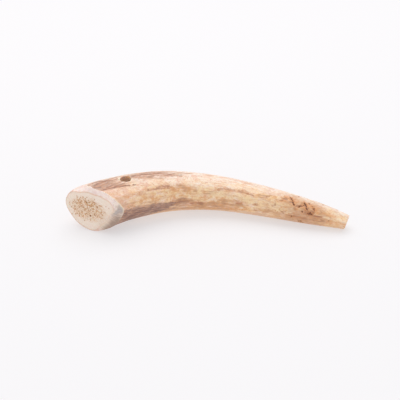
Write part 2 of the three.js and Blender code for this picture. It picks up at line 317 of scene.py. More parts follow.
OCHRES = [  # warmer, orange-tan areas
    (0.45, 1.0, [(-49.5, 170, 1.8), (-45.5, 173, 1.8), (-41.5, 169, 1.6)]),
    (0.38, 1.0, [(-37.5, 164, 1.7), (-31.0, 166, 2.2), (-24.0, 168, 2.0), (-17.0, 164, 1.6)]),
    (0.4, 1.0, [(-44.0, 152, 1.6), (-38.0, 150, 1.6)]),
    (0.42, 1.0, [(-16.0, 163, 1.8), (-10.0, 165, 2.4), (-4.0, 166, 2.2), (2.0, 166, 2.0)]),
    (0.42, 1.0, [(3.0, 168, 2.2), (9.0, 168, 2.4), (15.0, 167, 2.2), (22.0, 167, 1.8), (28.0, 168, 1.2)]),
    (0.45, 1.0, [(10.0, 128, 1.0), (14.0, 126, 1.2)]),
    (0.5, 1.0, [(-22.0, 138, 1.6), (-17.0, 141, 2.0), (-12.0, 145, 2.2), (-6.0, 148, 1.8)]),
    (0.6, 1.0, [(-14.0, 214, 1.2), (-6.0, 212, 1.9), (4.0, 211, 2.1), (14.0, 209, 2.0), (22.0, 207, 1.2)]),
    (0.7, 0.9, [(46.0, 105, 0.7), (48.6, 104, 0.7)]),
    (0.8, 0.8, [(49.4, 112, 0.5), (51.0, 121, 0.6), (51.9, 131, 0.5)]),
    (0.8, 0.8, [(56.4, 113, 0.7), (58.2, 122, 0.9), (60.6, 121, 0.7)]),
    (0.6, 1.0, [(58.0, 146, 0.9), (59.0, 140, 0.8)]),
    (0.55, 1.0, [(62.5, 132, 1.6), (66.0, 138, 1.8), (70.0, 141, 1.5), (73.0, 143, 1.0)]),
    (0.6, 1.0, [(57.0, 203, 0.8)]),
    (0.5, 1.0, [(-8.0, 196, 1.2), (2.0, 197, 1.6), (12.0, 196, 1.8), (22.0, 195, 1.6), (30.0, 193, 1.2)]),
    (0.5, 1.0, [(60.0, 196, 1.2), (66.0, 192, 1.6), (70.0, 190, 1.6)]),
    (0.6, 1.0, [(-38.0, 184, 0.9), (-31.0, 187, 1.3), (-24.0, 190, 1.5), (-18.0, 190, 1.4), (-12.0, 187, 1.2)]),
    (0.9, 0.8, [(43.8, 114, 0.35)]), (0.9, 0.8, [(45.1, 116, 0.35)]), (0.9, 0.8, [(46.6, 106, 0.4), (47.6, 104, 0.35)]),
    (0.7, 0.8, [(53.0, 147, 0.3), (53.7, 151, 0.3)]), (0.8, 0.8, [(60.6, 121, 0.5), (61.2, 124, 0.6)]),
    (0.5, 1.0, [(-44.0, 30, 1.6), (-34.0, 28, 2.0)]), (0.5, 1.0, [(0.0, 20, 1.8), (14.0, 22, 2.0)]),
    (0.5, 1.0, [(62.0, -10, 1.4), (70.0, -4, 1.6)]), (0.4, 1.0, [(40.0, 4, 1.4), (50.0, 8, 1.2)]),
    (0.6, 1.0, [(71.5, 174, 1.2), (75.0, 180, 2.0), (79.0, 184, 1.8), (82.0, 190, 1.4)]),
]
PALES = [  # paler areas
    (0.12, 1.0, [(-53.5, 97, 0.35), (-49.0, 104, 0.5), (-43.0, 107, 0.6), (-38.0, 110, 0.7)]),
    (0.8, 0.8, [(-0.9, 160, 1.5), (1.3, 160, 1.2)]),
    (0.2, 1.0, [(-8.0, 174, 1.2), (2.0, 173, 1.9), (10.0, 172, 2.0), (18.0, 170, 1.6), (26.0, 168, 1.4)]),
    (0.35, 1.0, [(36.0, 172, 1.2), (42.0, 172, 1.5), (50.0, 172, 1.2)]),
    (0.3, 0.9, [(-22.0, 212, 0.5), (-16.0, 208, 0.8), (-8.0, 207, 0.9), (-2.0, 207, 1.0), (5.0, 206, 0.9)]),
    (0.8, 0.7, [(45.2, 154, 0.35), (45.1, 163, 0.55), (44.7, 171, 0.9), (43.9, 174, 0.6)]),
    (0.4, 1.0, [(15.0, 115, 1.4), (22.0, 112, 1.8), (30.0, 108, 1.6)]),
    (0.6, 1.0, [(6.0, 158, 1.8), (12.0, 154, 1.8), (18.0, 156, 1.7)]),
    (0.6, 1.0, [(25.0, 158, 1.3), (31.0, 153, 1.6)]),
    (0.4, 1.0, [(-1.0, 144, 1.4), (8.0, 148, 1.8), (18.0, 147, 1.8), (28.0, 150, 1.6)]),
    (0.45, 1.0, [(36.0, 154, 1.4), (42.0, 155, 1.4), (49.0, 158, 1.1)]),
    (0.5, 0.8, [(51.2, 160, 0.9), (53.0, 165, 0.8)]),
    (0.55, 0.6, [(62.8, 157.5, 0.25), (64.6, 153.5, 0.3), (66.6, 149.5, 0.2)]),
    (0.42, 0.9, [(69.0, 160, 0.3), (72.0, 158.5, 0.35), (76.0, 154.5, 0.4), (80.5, 149, 0.45)]),
]
DARKEST = max(STAINS, key=lambda s: s[0])[2]
CRACKS = [  # open cracks: (depth in mm, points)
    (0.55, [(48.9, 103, 0.2), (49.6, 108, 0.34), (50.5, 116, 0.4), (51.1, 125, 0.46), (51.5, 130, 0.32), (52.0, 135, 0.34)]),
    (0.15, [(52.9, 146, 0.16), (53.7, 151, 0.2)]),
    (0.22, [(46.0, 108, 0.2), (47.2, 112, 0.26), (48.4, 111, 0.18)]),
    (0.2, [(50.8, 121, 0.18), (52.0, 122, 0.2), (52.8, 119, 0.14)]),
    (0.45, [(54.2, 141.5, 0.16), (55.0, 134, 0.26), (55.9, 129, 0.34), (56.9, 125.5, 0.22)]),
    (0.6, [(56.4, 111, 0.26), (57.2, 119, 0.46), (57.9, 127, 0.42), (58.0, 134, 0.5), (58.6, 140, 0.3)]),
    (0.16, [(44.9, 133, 0.24), (45.4, 128.5, 0.32), (46.0, 125, 0.2)]),
    (0.35, [(50.0, 8, 0.2), (52.0, 2, 0.3), (53.2, -5, 0.26)]),
    (0.3, [(57.0, -12, 0.2), (59.0, -16, 0.3), (61.0, -15, 0.2)]),
]
PITS = [  # small dark pits: (x, degrees, radius, depth)
    (61.7, 129, 0.55, 0.45), (58.8, 109, 0.5, 0.4), (60.7, 119, 0.35, 0.25), (56.6, 155, 0.5, 0.3), (62.2, 137, 0.4, 0.3), (57.9, 146, 0.25, 0.15),
    (60.2, 156, 0.7, 0.4), (61.3, 157, 0.6, 0.4), (59.3, 157, 0.5, 0.3), (60.6, 151, 0.45, 0.3), (62.0, 153, 0.35, 0.25), (61.8, 146, 0.25, 0.2), (70.4, 171, 0.3, 0.25),
    (43.3, 175, 0.3, 0.25), (44.5, 179, 0.3, 0.2), (55.6, 213, 0.5, 0.35), (56.6, 210, 0.5, 0.35), (51.9, 187, 0.55, 0.3), (52.9, 185, 0.4, 0.25),
    (48.9, 71, 0.3, 0.22), (52.5, 76, 0.35, 0.22), (57.0, 74, 0.3, 0.2), (65.3, 79, 0.35, 0.25), (67.1, 95, 0.2, 0.15),
    (72.7, 70, 0.35, 0.25), (71.9, 67, 0.2, 0.15), (63.6, 72, 0.2, 0.15), (-6.1, 158, 0.25, 0.1),
    (3.0, 120.5, 0.3, 0.1), (3.9, 120, 0.2, 0.1), (-5.1, 122.5, 0.35, 0.12), (27.0, 165, 0.2, 0.15), (17.0, 110, 0.25, 0.1),
    (-28.4, 130, 0.4, 0.1), (38.6, 127, 0.35, 0.18), (37.4, 129, 0.3, 0.2),
    (59.9, 154, 0.5, 0.2), (60.6, 156, 0.55, 0.25), (61.4, 153, 0.45, 0.2), (62.2, 148, 0.35, 0.15), (60.2, 151, 0.3, 0.15),
    (52.0, 186, 0.4, 0.2), (51.4, 196, 0.3, 0.15), (56.2, 210, 0.4, 0.25), (57.4, 218, 0.35, 0.2), (64.8, 172, 0.25, 0.1),
    (61.9, 128, 0.34, 0.3), (62.3, 138, 0.3, 0.2), (59.6, 158, 0.35, 0.25), (60.9, 158, 0.3, 0.25), (56.4, 154, 0.3, 0.2),
    (64.0, 18, 0.3, 0.25), (55.0, 30, 0.25, 0.2), (30.0, -8, 0.3, 0.2), (10.0, -20, 0.35, 0.2), (-24.0, -6, 0.3, 0.2),
    (46.0, -40, 0.3, 0.2), (68.0, -30, 0.3, 0.2), (32.3, 166, 0.35, 0.2), (24.4, 174, 0.3, 0.2), (47.3, 104, 0.2, 0.12), (76.0, 72, 0.18, 0.12), (54.6, 68, 0.2, 0.14),
]


def stroke(x, f, points, soft=0.6):
    """1 on the stroke's line, half at its half width, fading the more slowly the softer it is."""
    s, deg, r = along_at(x), np.degrees(f), radius_at(x)
    best = np.full(s.shape, 9.0)
    points = [points[0]] + list(points) if len(points) == 1 else points
    for (xa, fa, wa), (xb, fb, wb) in zip(points[:-1], points[1:]):
        sa, sb = along_at(xa), along_at(xb)
        scale = np.pi / 180 * r
        ua, va = s - sa, (deg - fa - 360 * np.round((deg - fa) / 360)) * scale
        du, dv = sb - sa, (fb - fa) * scale
        t = np.clip((ua * du + va * dv) / np.maximum(du * du + dv * dv, 1e-9), 0, 1)
        d = np.hypot(ua - t * du, va - t * dv) / (wa + t * (wb - wa))
        best = np.minimum(best, d)
    return 0.5 ** (np.minimum(best, 6.0) ** (6 - 4 * min(soft, 1.0)))


def union(a, b):
    return 1 - (1 - a) * (1 - b)


def skin_detail(x, f, edge):
    """Masks and depth, in mm, of the skin at (x, f). edge is the distance from the base's bevel."""
    g = grain_of(x, f)
    wave = np.stack([g[..., 0] / 14, g[..., 1] / 6, g[..., 2] / 6], -1)
    shift = 0.05 * noise(wave, 5)
    fw = f + shift
    gw = grain_of(x, fw)
    streak = fbm(gw / (24, 2.3, 2.3), 11, 3)
    thread = fbm(gw / (11, 0.95, 0.95), 12, 2)
    patch = fbm(g / (9, 4, 4), 13, 3)
    mottle = fbm(g / (2.6, 1.5, 1.5), 14, 3)
    speck = fbm(g / (1.0, 0.8, 0.8), 15, 2)

    broken = fbm(gw / (3.4, 1.1, 1.1), 16, 3)
    groove = np.zeros(x.shape)
    for strength, points in GROOVES:
        groove = union(groove, strength * stroke(x + 1.1 * mottle + 0.5 * speck, f + 0.06 * mottle + 0.035 * speck, points, 1.0))
    upper_left = smooth((-43 - x) / 5) * np.exp(-((apart(f, 92) / 26) ** 2))
    groove *= np.clip(0.95 + (1.5 - 0.9 * upper_left) * broken + 0.4 * speck, 0.12, 1.1)
    stain = np.zeros(x.shape)
    for strength, soft, points in STAINS:
        stain = union(stain, strength * stroke(x + 1.6 * mottle + 0.8 * patch + 0.4 * speck, f + 0.09 * mottle + 0.05 * streak + 0.03 * speck, points, soft))
    heavy = stroke(x + 1.2 * mottle + 0.3 * speck, f + 0.04 * mottle + 0.05 * streak + 0.02 * speck, DARKEST, 0.5)
    blotch = np.exp(-(((x + 9.5) / 7.0) ** 2) - ((apart(f, 183) / 9.0) ** 2))
    stain *= np.clip(0.92 + (1.1 - 0.8 * upper_left) * fbm(gw / (3.6, 1.4, 1.4), 17, 3), np.minimum(0.3 + 0.55 * heavy + 0.5 * upper_left + 0.4 * blotch, 0.9), 1.15)
    ochre = np.zeros(x.shape)
    for strength, soft, points in OCHRES:
        ochre = union(ochre, strength * stroke(x + 1.2 * mottle, f + 0.08 * mottle, points, soft))
    pale = np.zeros(x.shape)
    for strength, soft, points in PALES:
        pale = union(pale, strength * stroke(x + 0.6 * mottle, f + 0.05 * mottle, points, soft))
    # Painted light: a paler band along the front-facing side, standing in for the light that falls there.
    painted_front_light = smooth((x + 50) / 8) * (1 - smooth((x - 40) / 14)) * np.exp(-((apart(f, 156) / 19) ** 2))
    pale = union(pale, painted_front_light * np.clip(0.5 + 0.7 * patch + 0.4 * mottle, 0.1, 0.9))
    crack, crack_depth = np.zeros(x.shape), np.zeros(x.shape)
    tear = fbm(g / (0.7, 0.6, 0.6), 18, 2)
    uneven = np.exp(-1.9 * noise(g / (1.7, 1.4, 1.4), 19))
    for depth, points in CRACKS:
        near = stroke(x + 0.5 * speck + 0.35 * tear, f + 0.07 * speck + 0.06 * tear, points, 0.8) ** uneven
        near = near * np.clip(1.0 + 0.9 * tear + 0.5 * speck, 0.35, 1) * min(1.0, depth / 0.3)
        crack, crack_depth = np.maximum(crack, near), np.maximum(crack_depth, near**1.5 * depth)
        wide = [(px, pf, 2.6 * w) for px, pf, w in points]
        ochre = union(ochre, np.clip(0.8 + 1.6 * speck + 1.2 * mottle, 0, 1) * stroke(x + 0.7 * speck + 0.5 * mottle - 0.25, f + 0.1 * speck, wide, 1.0))
    pit = np.zeros(x.shape)
    for px, pf, pr, depth in PITS:
        near = stroke(x + 0.2 * speck, f + 0.02 * mottle, [(px, pf, pr)], 0.9)
        pit = np.maximum(pit, near * np.clip(depth / 0.25, 0.5, 1))
        crack_depth = np.maximum(crack_depth, near**2 * depth)

    # The older stretch before the tip: small brown freckles.
    older = smooth((x - 36) / 8) * (1 - smooth((x - 66) / 6)) * np.exp(-((apart(f, 165) / 52) ** 2))
    freckle = smooth((noise(g / (1.8, 1.1, 1.1), 46) + 0.5 * noise(g / (4.5, 2.5, 2.5), 47) - 0.24) / 0.35)
    stain = union(stain, 0.8 * older * freckle)
    ochre = union(ochre, 0.9 * older * smooth((noise(g / (1.7, 1.2, 1.2), 48) + 0.5 * noise(g / (4.0, 3.0, 3.0), 49) - 0.2) / 0.35))
    pale = union(pale, 0.7 * older * smooth((noise(g / (1.6, 1.0, 1.0), 50) + 0.5 * noise(g / (5.0, 3.0, 3.0), 51) - 0.3) / 0.4))

    # Round the cracks: a crust of orange-brown crumbs.
    crumbs = stroke(x + 0.8 * mottle, f + 0.05 * mottle, [(45.5, 112, 1.6), (49.5, 116, 2.4), (52.0, 132, 2.8), (56.5, 128, 3.0), (60.0, 142, 3.4), (63.0, 150, 2.2)], 1.0)
    crumbs = crumbs * smooth((x - 43) / 3)
    ochre = union(ochre, 0.85 * crumbs * smooth((noise(g / (2.0, 1.3, 1.3), 52) + 0.5 * noise(g / (0.9, 0.7, 0.7), 53) - 0.06) / 0.3))
    stain = union(stain, 0.95 * crumbs * smooth((noise(g / (1.9, 1.2, 1.2), 54) + 0.5 * noise(g / (0.9, 0.7, 0.7), 55) - 0.14) / 0.3))
    pale = union(pale, 0.8 * crumbs * smooth((noise(g / (1.8, 1.2, 1.2), 56) - 0.18) / 0.3))

    # The far side and the underside: brown gutters between paler ridges, strongest at the base.
    deg = np.degrees(f)
    near_base = smooth((2 - x) / 50)
    under = np.exp(-((apart(f, -62) / 52) ** 2))  # from underneath round to the back
    rough = under * (0.35 + 0.65 * near_base) * (1 - smooth((x - 30) / 30))
    gutter = smooth((0.12 - streak - 0.25 * thread) / 0.42)
    stain = union(stain, 0.8 * rough * gutter * np.clip(0.7 + 1.1 * mottle, 0, 1))
    pale = union(pale, 0.35 * rough * (1 - gutter))
    groove = union(groove, 0.6 * rough * smooth((-0.18 - streak - 0.3 * thread) / 0.25))
    # scattered pits and short scratches where nothing is placed
    far = smooth((apart(f, 140) - 62) / 22)
    scattered = smooth((noise(g / (0.9, 0.8, 0.8), 44) + 0.25 * noise(g / (6, 4, 4), 45) - 0.62) / 0.12) * (0.25 + 0.75 * far)
    crack_depth = np.maximum(crack_depth, 0.14 * scattered)
    pit = np.maximum(pit, 0.6 * scattered * far)

    # The whole skin: brown settles in the hollows of the streaks, thinly where it is polished.
    hollow = smooth((-0.08 - streak - 0.35 * thread) / 0.5)
    ridge = smooth((streak + 0.3 * thread - 0.1) / 0.5)
    dark = stain
    depth = (
        0.035
        + 0.05 * (0.5 + 0.5 * patch)
        + 0.05 * hollow
        + 0.018 * (0.5 + 0.5 * mottle)
        + dark * (0.10 + 0.16 * smooth((0.25 - thread - 0.4 * streak) / 0.7))
        + 0.02 * dark * np.clip(speck, -1, 1)
        + 0.24 * groove
        + crack_depth
    )
    fade = 0.25 + 0.75 * smooth(edge / 1.2)
    tip = 1 - 0.75 * smooth((x - 66) / 8)
    depth = np.clip(depth - crack_depth, 0, 0.8) * fade * tip + crack_depth * smooth(edge / 0.8)
    return dict(
        heavy=heavy, depth=depth, groove=groove, stain=dark, ochre=ochre, pale=pale, crack=np.maximum(crack, 0.8 * pit), hollow=hollow, ridge=ridge,
        grain=g, patch=patch, mottle=mottle, thread=thread, speck=speck, streak=streak, broken=broken,
    )


# =================================================================================================
# The mesh
# =================================================================================================
NF, ROWS, BEVEL_ROWS, WALL_ROWS, RIM_N = 180, 404, 14, 56, 48
angles = 2 * np.pi * np.arange(NF) / NF - np.pi
rng = np.random.default_rng(20261124)


class Sheet:
    """Vertices with their place, masks and the way that they are pressed in, and faces with their material."""

    def __init__(self):
        self.co, self.x, self.f, self.kind, self.edge, self.n = [], [], [], [], [], 0
        self.faces, self.slots = [], []

    def add(self, co, x, f, kind, edge=0.0):
        co = np.asarray(co, float).reshape(-1, 3)
        k = len(co)
        self.co.append(co)
        for to, v in ((self.x, x), (self.f, f), (self.edge, edge)):
            to.append(np.broadcast_to(np.asarray(v, float).ravel() if np.ndim(v) else v, (k,)).astype(float))
        self.kind.append(np.full(k, kind))
        self.n += k
        return np.arange(self.n - k, self.n)

    def quads(self, a, b, c, d, slot):
        self.faces += np.stack([a, b, c, d], -1).reshape(-1, 4).tolist()
        self.slots += [slot] * a.size

    def tris(self, t, slot):
        self.faces += [list(map(int, q)) for q in t]
        self.slots += [slot] * len(t)


SKIN, FACE, WALL, TIP = range(4)  # materials
K_SKIN, K_BEVEL, K_FACE, K_WALL, K_TIPEDGE, K_TIP = range(6)  # kinds of vertex
sheet = Sheet()

rim = skin(base_x(angles, 0), angles)
face_centre = rim.mean(0)
tip_rim = skin(tip_x(angles, 0), angles)
tip_centre = tip_rim.mean(0)


def towards(p, c, d):
    v = c - p
    return p + v / np.linalg.norm(v, axis=-1, keepdims=True) * np.asarray(d)[..., None]


face_edge = towards(rim, face_centre, bevel_at(angles, 2))
skin_start, skin_end = base_x(angles, bevel_at(angles, 1)), tip_x(angles, TIP_ROUND)
start_at = skin(skin_start, angles)

# the bevel, from the flat face's edge to the skin
edge_ids = sheet.add(face_edge, skin_start, angles, K_BEVEL, -9)
bevel_rows = [edge_ids]
width = np.linalg.norm(start_at - face_edge, axis=1)
for k in range(1, BEVEL_ROWS):
    t = k / BEVEL_ROWS
    p = face_edge + (start_at - face_edge) * t
    p += (rim - p) * (0.05 * 4 * t * (1 - t))
    bevel_rows.append(sheet.add(p, skin_start, angles, K_BEVEL, -(1 - t) * width))

# the skin's rings
u = np.linspace(0, 1, ROWS + 1)
mean0, mean1 = skin_start.mean(), skin_end.mean()
grid_x = mean0 + (mean1 - mean0) * u[:, None] + (skin_start - mean0) * (1 - u[:, None]) ** 4 + (skin_end - mean1) * u[:, None] ** 4
grid_f = np.broadcast_to(angles, grid_x.shape)
grid = skin(grid_x, grid_f)
run = np.concatenate([np.zeros((1, NF)), np.cumsum(np.linalg.norm(np.diff(grid, axis=0), axis=2), axis=0)])
plan = np.hypot(grid[..., 0] - HOLE_X, grid[..., 1] - HOLE_Y)
CLEAR = 5.0
gone_top = (plan < CLEAR) & (np.sin(grid_f) > 0)
gone_low = (plan < CLEAR) & (np.sin(grid_f) < 0)
gone = gone_top | gone_low
ids = np.full(grid_x.shape, -1)
ids[~gone] = sheet.add(grid[~gone], grid_x[~gone], grid_f[~gone], K_SKIN, run[~gone])
nxt = (np.arange(NF) + 1) % NF
for lower, upper in zip(bevel_rows, bevel_rows[1:] + [ids[0]]):
    sheet.quads(lower, lower[nxt], upper[nxt], upper, SKIN)
a, b, c, d = ids[:-1], ids[1:], ids[1:][:, nxt], ids[:-1][:, nxt]
whole = (a >= 0) & (b >= 0) & (c >= 0) & (d >= 0)
sheet.quads(a[whole], d[whole], c[whole], b[whole], SKIN)

# the tip's rounded edge
tip_inner = towards(tip_rim, tip_centre, np.full(NF, TIP_ROUND))
last = ids[-1]
for t in (0.25, 0.5, 0.75, 1.0):
    p = grid[-1] + (tip_inner - grid[-1]) * t
    p += (tip_rim - p) * (0.3 * 4 * t * (1 - t))
    row = sheet.add(p, skin_end, angles, K_TIPEDGE, run[-1])
    sheet.quads(last, last[nxt], row[nxt], row, SKIN)
    last = row
tip_ids, tip_pts = last, p


def inside(poly, p):
    """Which points p lie inside the polygon."""
    x, y = p[:, 0][:, None], p[:, 1][:, None]
    x0, y0 = poly[:, 0], poly[:, 1]
    x1, y1 = np.roll(x0, -1), np.roll(y0, -1)
    cross = ((y0 > y) != (y1 > y)) & (x < (x1 - x0) * (y - y0) / np.where(y1 == y0, 1e-12, y1 - y0) + x0)
    return cross.sum(1) % 2 == 1


def fill(outer, free, hole=None):
    """Triangles, counter-clockwise, between the outer loop, the free points and, if given, round a hole's loop."""
    loops = [outer] if hole is None else [outer, hole]
    pts = np.concatenate(loops + [free])
    edges, at = [], 0
    for loop in loops:
        k = len(loop)
        edges += [(at + i, at + (i + 1) % k) for i in range(k)]
        at += k
    co, _, tris, orig, _, _ = delaunay_2d_cdt([Vector((float(p[0]), float(p[1]))) for p in pts], edges, [], 0, 1e-5)
    if len(co) != len(pts):
        raise RuntimeError("the fill moved or joined points")
    order = np.array([o[0] for o in orig])
    tris = order[np.array([t for t in tris if len(t) == 3])]
    p = pts[tris]
    mid = p.mean(1)
    keep = inside(outer, mid)
    if hole is not None:
        keep &= ~inside(hole, mid)
    tris = tris[keep]
    p = pts[tris]
    area = (p[:, 1, 0] - p[:, 0, 0]) * (p[:, 2, 1] - p[:, 0, 1]) - (p[:, 2, 0] - p[:, 0, 0]) * (p[:, 1, 1] - p[:, 0, 1])
    tris[area < 0] = tris[area < 0][:, ::-1]
    return tris


# ---- the sawn face and its pores ----------------------------------------------------------------
ACROSS = np.array([np.sin(CUT_TURN), -np.cos(CUT_TURN), 0.0])  # to the right as the face is looked at, and Z is up
UP = np.array([0.0, 0.0, 1.0])
face_mid = np.array([-58.153, -13.708, 13.267])


def on_face(p):
    return np.stack([(p - face_mid) @ ACROSS, p[..., 2] - face_mid[2]], -1)


outline = on_face(face_edge)
# placed pores: across, up, radius, depth
PORES = [
    (-5.8, 5.8, 0.32, 0.4), (-10.5, 2.1, 0.3, 0.5), (-8.6, 1.4, 0.28, 0.5), (-6.0, 2.8, 0.36, 0.6), (-7.6, 3.7, 0.26, 0.35),
    (-12.1, -1.3, 0.32, 0.5), (-5.4, 0.6, 0.4, 0.7), (-4.4, 0.2, 0.38, 0.7), (-2.6, 4.2, 0.4, 0.7), (-2.3, 3.5, 0.42, 0.8),
    (-1.9, 2.8, 0.36, 0.6), (-2.8, 5.6, 0.34, 0.5), (-0.5, 2.3, 0.4, 0.55), (0.4, 1.9, 0.42, 0.6), (1.7, 2.4, 0.36, 0.5),
    (0.8, 3.1, 0.34, 0.45), (1.8, 4.8, 0.36, 0.7), (2.6, 4.6, 0.36, 0.7), (3.4, 4.4, 0.3, 0.6), (4.1, 2.2, 0.46, 0.8),
    (0.0, -0.6, 0.36, 0.6), (1.5, 0.6, 0.34, 0.5), (-1.3, -0.9, 0.3, 0.6), (-0.4, -4.2, 0.48, 1.1), (2.3, -3.1, 0.42, 0.9),
    (3.9, -3.5, 0.36, 0.5), (7.1, -1.9, 0.34, 0.6), (8.7, 0.2, 0.3, 0.4), (-7.4, -5.9, 0.34, 0.5), (-4.4, -8.0, 0.3, 0.4),
    (-0.5, -7.1, 0.26, 0.3), (-9.9, -5.2, 0.28, 0.45), (-8.5, -4.7, 0.28, 0.4), (-5.5, -2.7, 0.38, 0.6), (-2.9, -3.3, 0.34, 0.6),
    (-3.8, -1.7, 0.32, 0.5), (-7.1, -0.5, 0.32, 0.5), (-9.8, -0.5, 0.36, 0.5), (-10.5, -2.1, 0.3, 0.45), (-9.3, -2.2, 0.34, 0.5),
    (-5.1, -5.9, 0.28, 0.4), (2.8, 6.7, 0.26, 0.35), (5.5, 3.5, 0.28, 0.35), (6.8, 1.2, 0.3, 0.35), (11.3, 3.2, 0.22, 0.25),
    (9.6, 4.0, 0.22, 0.25), (-1.9, 6.7, 0.26, 0.35), (-8.1, 6.1, 0.26, 0.35),
]


def core_at(p):
    """How spongy the sawn face is at p: 1 in the core, 0 in the compact ring round it."""
    a, b = p[..., 0], p[..., 1]
    d = np.hypot((a + 1.8) / 12.6, (b + 0.4) / 8.8)
    n = fbm(np.stack([a / 4, b / 4, 0 * a], -1), 61, 3)
    return smooth((1.02 - d + 0.28 * n) / 0.45)


def rich_at(p):
    """Where the pores crowd."""
    a, b = p[..., 0], p[..., 1]
    d1 = np.hypot((a + 6.0) / 6.0, (b + 0.2) / 5.2)
    d2 = np.hypot((a - 0.6) / 4.2, (b - 2.2) / 3.8)
    d3 = np.hypot((a - 1.0) / 5.0, (b + 3.0) / 3.0)
    d4 = np.hypot((a - 6.5) / 4.4, (b + 0.4) / 4.4)
    return np.clip(np.exp(-d1**2) + 0.8 * np.exp(-d2**2) + 0.5 * np.exp(-d3**2) + 0.4 * np.exp(-d4**2), 0, 1)


pores = [list(p) + [1.0, 0.0] for p in PORES]
tries = rng.uniform((-15, -12.5), (13.5, 9.5), (2600, 2))
weights = core_at(tries) * (0.16 + 0.84 * rich_at(tries))
sizes = rng.uniform(0, 1, len(tries))
for (pa, pb), w, s, pick, turn, long in zip(tries, weights, sizes, rng.uniform(0, 1, len(tries)), rng.uniform(0, np.pi, len(tries)), rng.uniform(1, 1.9, len(tries))):
    r = 0.11 + 0.14 * s**2
    if pick > w * 0.3 or len(pores) > 245:
        continue
    if any((pa - q[0]) ** 2 + (pb - q[1]) ** 2 < (r + q[2] + 0.22) ** 2 for q in pores):
        continue
    pores.append([pa, pb, r, 0.05 + 0.7 * r, long, turn])
pores = np.array(pores)
pores[: len(PORES), 2] *= 0.78
pores[: len(PORES), 3] *= 0.42
pores[23, 2:4] = 0.46, 0.9
for i in range(len(PORES)):
    pores[i, 4], pores[i, 5] = 1 + 0.5 * rng.uniform(), rng.uniform(0, np.pi)


def pore_field(p):
    """Depth of the pores at p, and how much of a pore p is in, 0 to 1, with a halo round each."""
    depth, within, halo = np.zeros(len(p)), np.zeros(len(p)), np.zeros(len(p))
    for a, b, r, deep, long, turn in pores:
        near = np.flatnonzero(np.abs(p[:, 0] - a) + np.abs(p[:, 1] - b) < 5 * r * long)
        du, dv = p[near, 0] - a, p[near, 1] - b
        q = np.hypot((du * np.cos(turn) + dv * np.sin(turn)) / long, -du * np.sin(turn) + dv * np.cos(turn)) / r
        bowl = 1 - smooth((q - 0.45) / 0.62)
        depth[near] = np.maximum(depth[near], deep * bowl)
        within[near] = np.maximum(within[near], np.clip(deep / 0.55, 0.35, 1) * (1 - smooth((q - 0.6) / 0.7)))
        halo[near] = np.maximum(halo[near], 1 - smooth((q - 0.8) / 1.6))
    return depth, within, halo


points = []
for a, b, r, deep, long, turn in pores:
    points.append((a, b))
    for ring, count in ((0.5, 6), (1.06, 9)):
        phase = rng.uniform(0, 2 * np.pi)
        for k in range(count):
            t = phase + 2 * np.pi * k / count
            du, dv = ring * r * long * np.cos(t), ring * r * np.sin(t)
            points.append((a + du * np.cos(turn) - dv * np.sin(turn), b + du * np.sin(turn) + dv * np.cos(turn)))
points = np.array(points)
step = 0.42
ga, gb = np.meshgrid(np.arange(-16, 15, step), np.arange(-14, 11, step * 0.87), indexing="ij")
ga = ga + (np.arange(ga.shape[1]) % 2) * step / 2
plain = np.stack([ga.ravel(), gb.ravel()], -1) + rng.uniform(-0.05, 0.05, (ga.size, 2))


def apart_from(p, q, least):
    """The points p that are at least this far from every point of q."""
    keep = np.ones(len(p), bool)
    for i in range(0, len(p), 2000):
        d = ((p[i : i + 2000, None] - q[None]) ** 2).sum(-1)
        keep[i : i + 2000] = d.min(1) > least * least
    return p[keep]


free = apart_from(np.concatenate([points, apart_from(plain, points, 0.2)]), outline, 0.2)
kept = [True] * len(free)
cells = {}
for i, p in enumerate(free):  # no two points closer than 0.05 mm
    key = (int(p[0] // 0.05), int(p[1] // 0.05))
    close = any(
        (free[j][0] - p[0]) ** 2 + (free[j][1] - p[1]) ** 2 < 0.0025
        for da in (-1, 0, 1) for db in (-1, 0, 1) for j in cells.get((key[0] + da, key[1] + db), ()))
    if close:
        kept[i] = False
    else:
        cells.setdefault(key, []).append(i)
free = free[np.array(kept)]
free = free[inside(outline, free)]
tris = fill(outline, free)
free_ids = sheet.add(face_mid + free[:, :1] * ACROSS + free[:, 1:] * UP + CUT_FACING * (CUT_PLACE - face_mid @ CUT_FACING), 0, 0, K_FACE)
lookup = np.concatenate([edge_ids, free_ids])
sheet.tris(lookup[tris], FACE)

# ---- the tip's small sawn end -------------------------------------------------------------------
tip_a = np.cross(UP, TIP_FACING)
tip_a /= np.linalg.norm(tip_a)
tip_b = np.cross(TIP_FACING, tip_a)
tip_loop = np.stack([(tip_pts - tip_centre) @ tip_a, (tip_pts - tip_centre) @ tip_b], -1)
step = 0.24
ga, gb = np.meshgrid(np.arange(-5, 5, step), np.arange(-5, 5, step * 0.87), indexing="ij")
ga = ga + (np.arange(ga.shape[1]) % 2) * step / 2
plain = np.stack([ga.ravel(), gb.ravel()], -1) + rng.uniform(-0.03, 0.03, (ga.size, 2))
plain = plain[inside(tip_loop, plain)]
plain = apart_from(plain, tip_loop, 0.12)
tris = fill(tip_loop, plain)
free_ids = sheet.add(tip_centre + plain[:, :1] * tip_a + plain[:, 1:] * tip_b, TIP_X, 0, K_TIP)
sheet.tris(np.concatenate([tip_ids, free_ids])[tris], TIP)

# ---- the drilled hole: both mouths and the wall ---------------------------------------------------
turns = 2 * np.pi * np.arange(RIM_N) / RIM_N


def lift(target, top):
    """The (x, f) of the skin points straight above or below plan points."""
    x, f = target[:, 0].copy(), np.full(len(target), np.pi / 2 if top else -np.pi / 2)
    for _ in range(30):
        e = 1e-4
        p = skin(x, f)[:, :2]
        jx, jf = (skin(x + e, f)[:, :2] - p) / e, (skin(x, f + e)[:, :2] - p) / e
        miss = target - p
        det = jx[:, 0] * jf[:, 1] - jx[:, 1] * jf[:, 0]
        x = x + (miss[:, 0] * jf[:, 1] - miss[:, 1] * jf[:, 0]) / det
        f = f + (jx[:, 0] * miss[:, 1] - jx[:, 1] * miss[:, 0]) / det
    return x, f


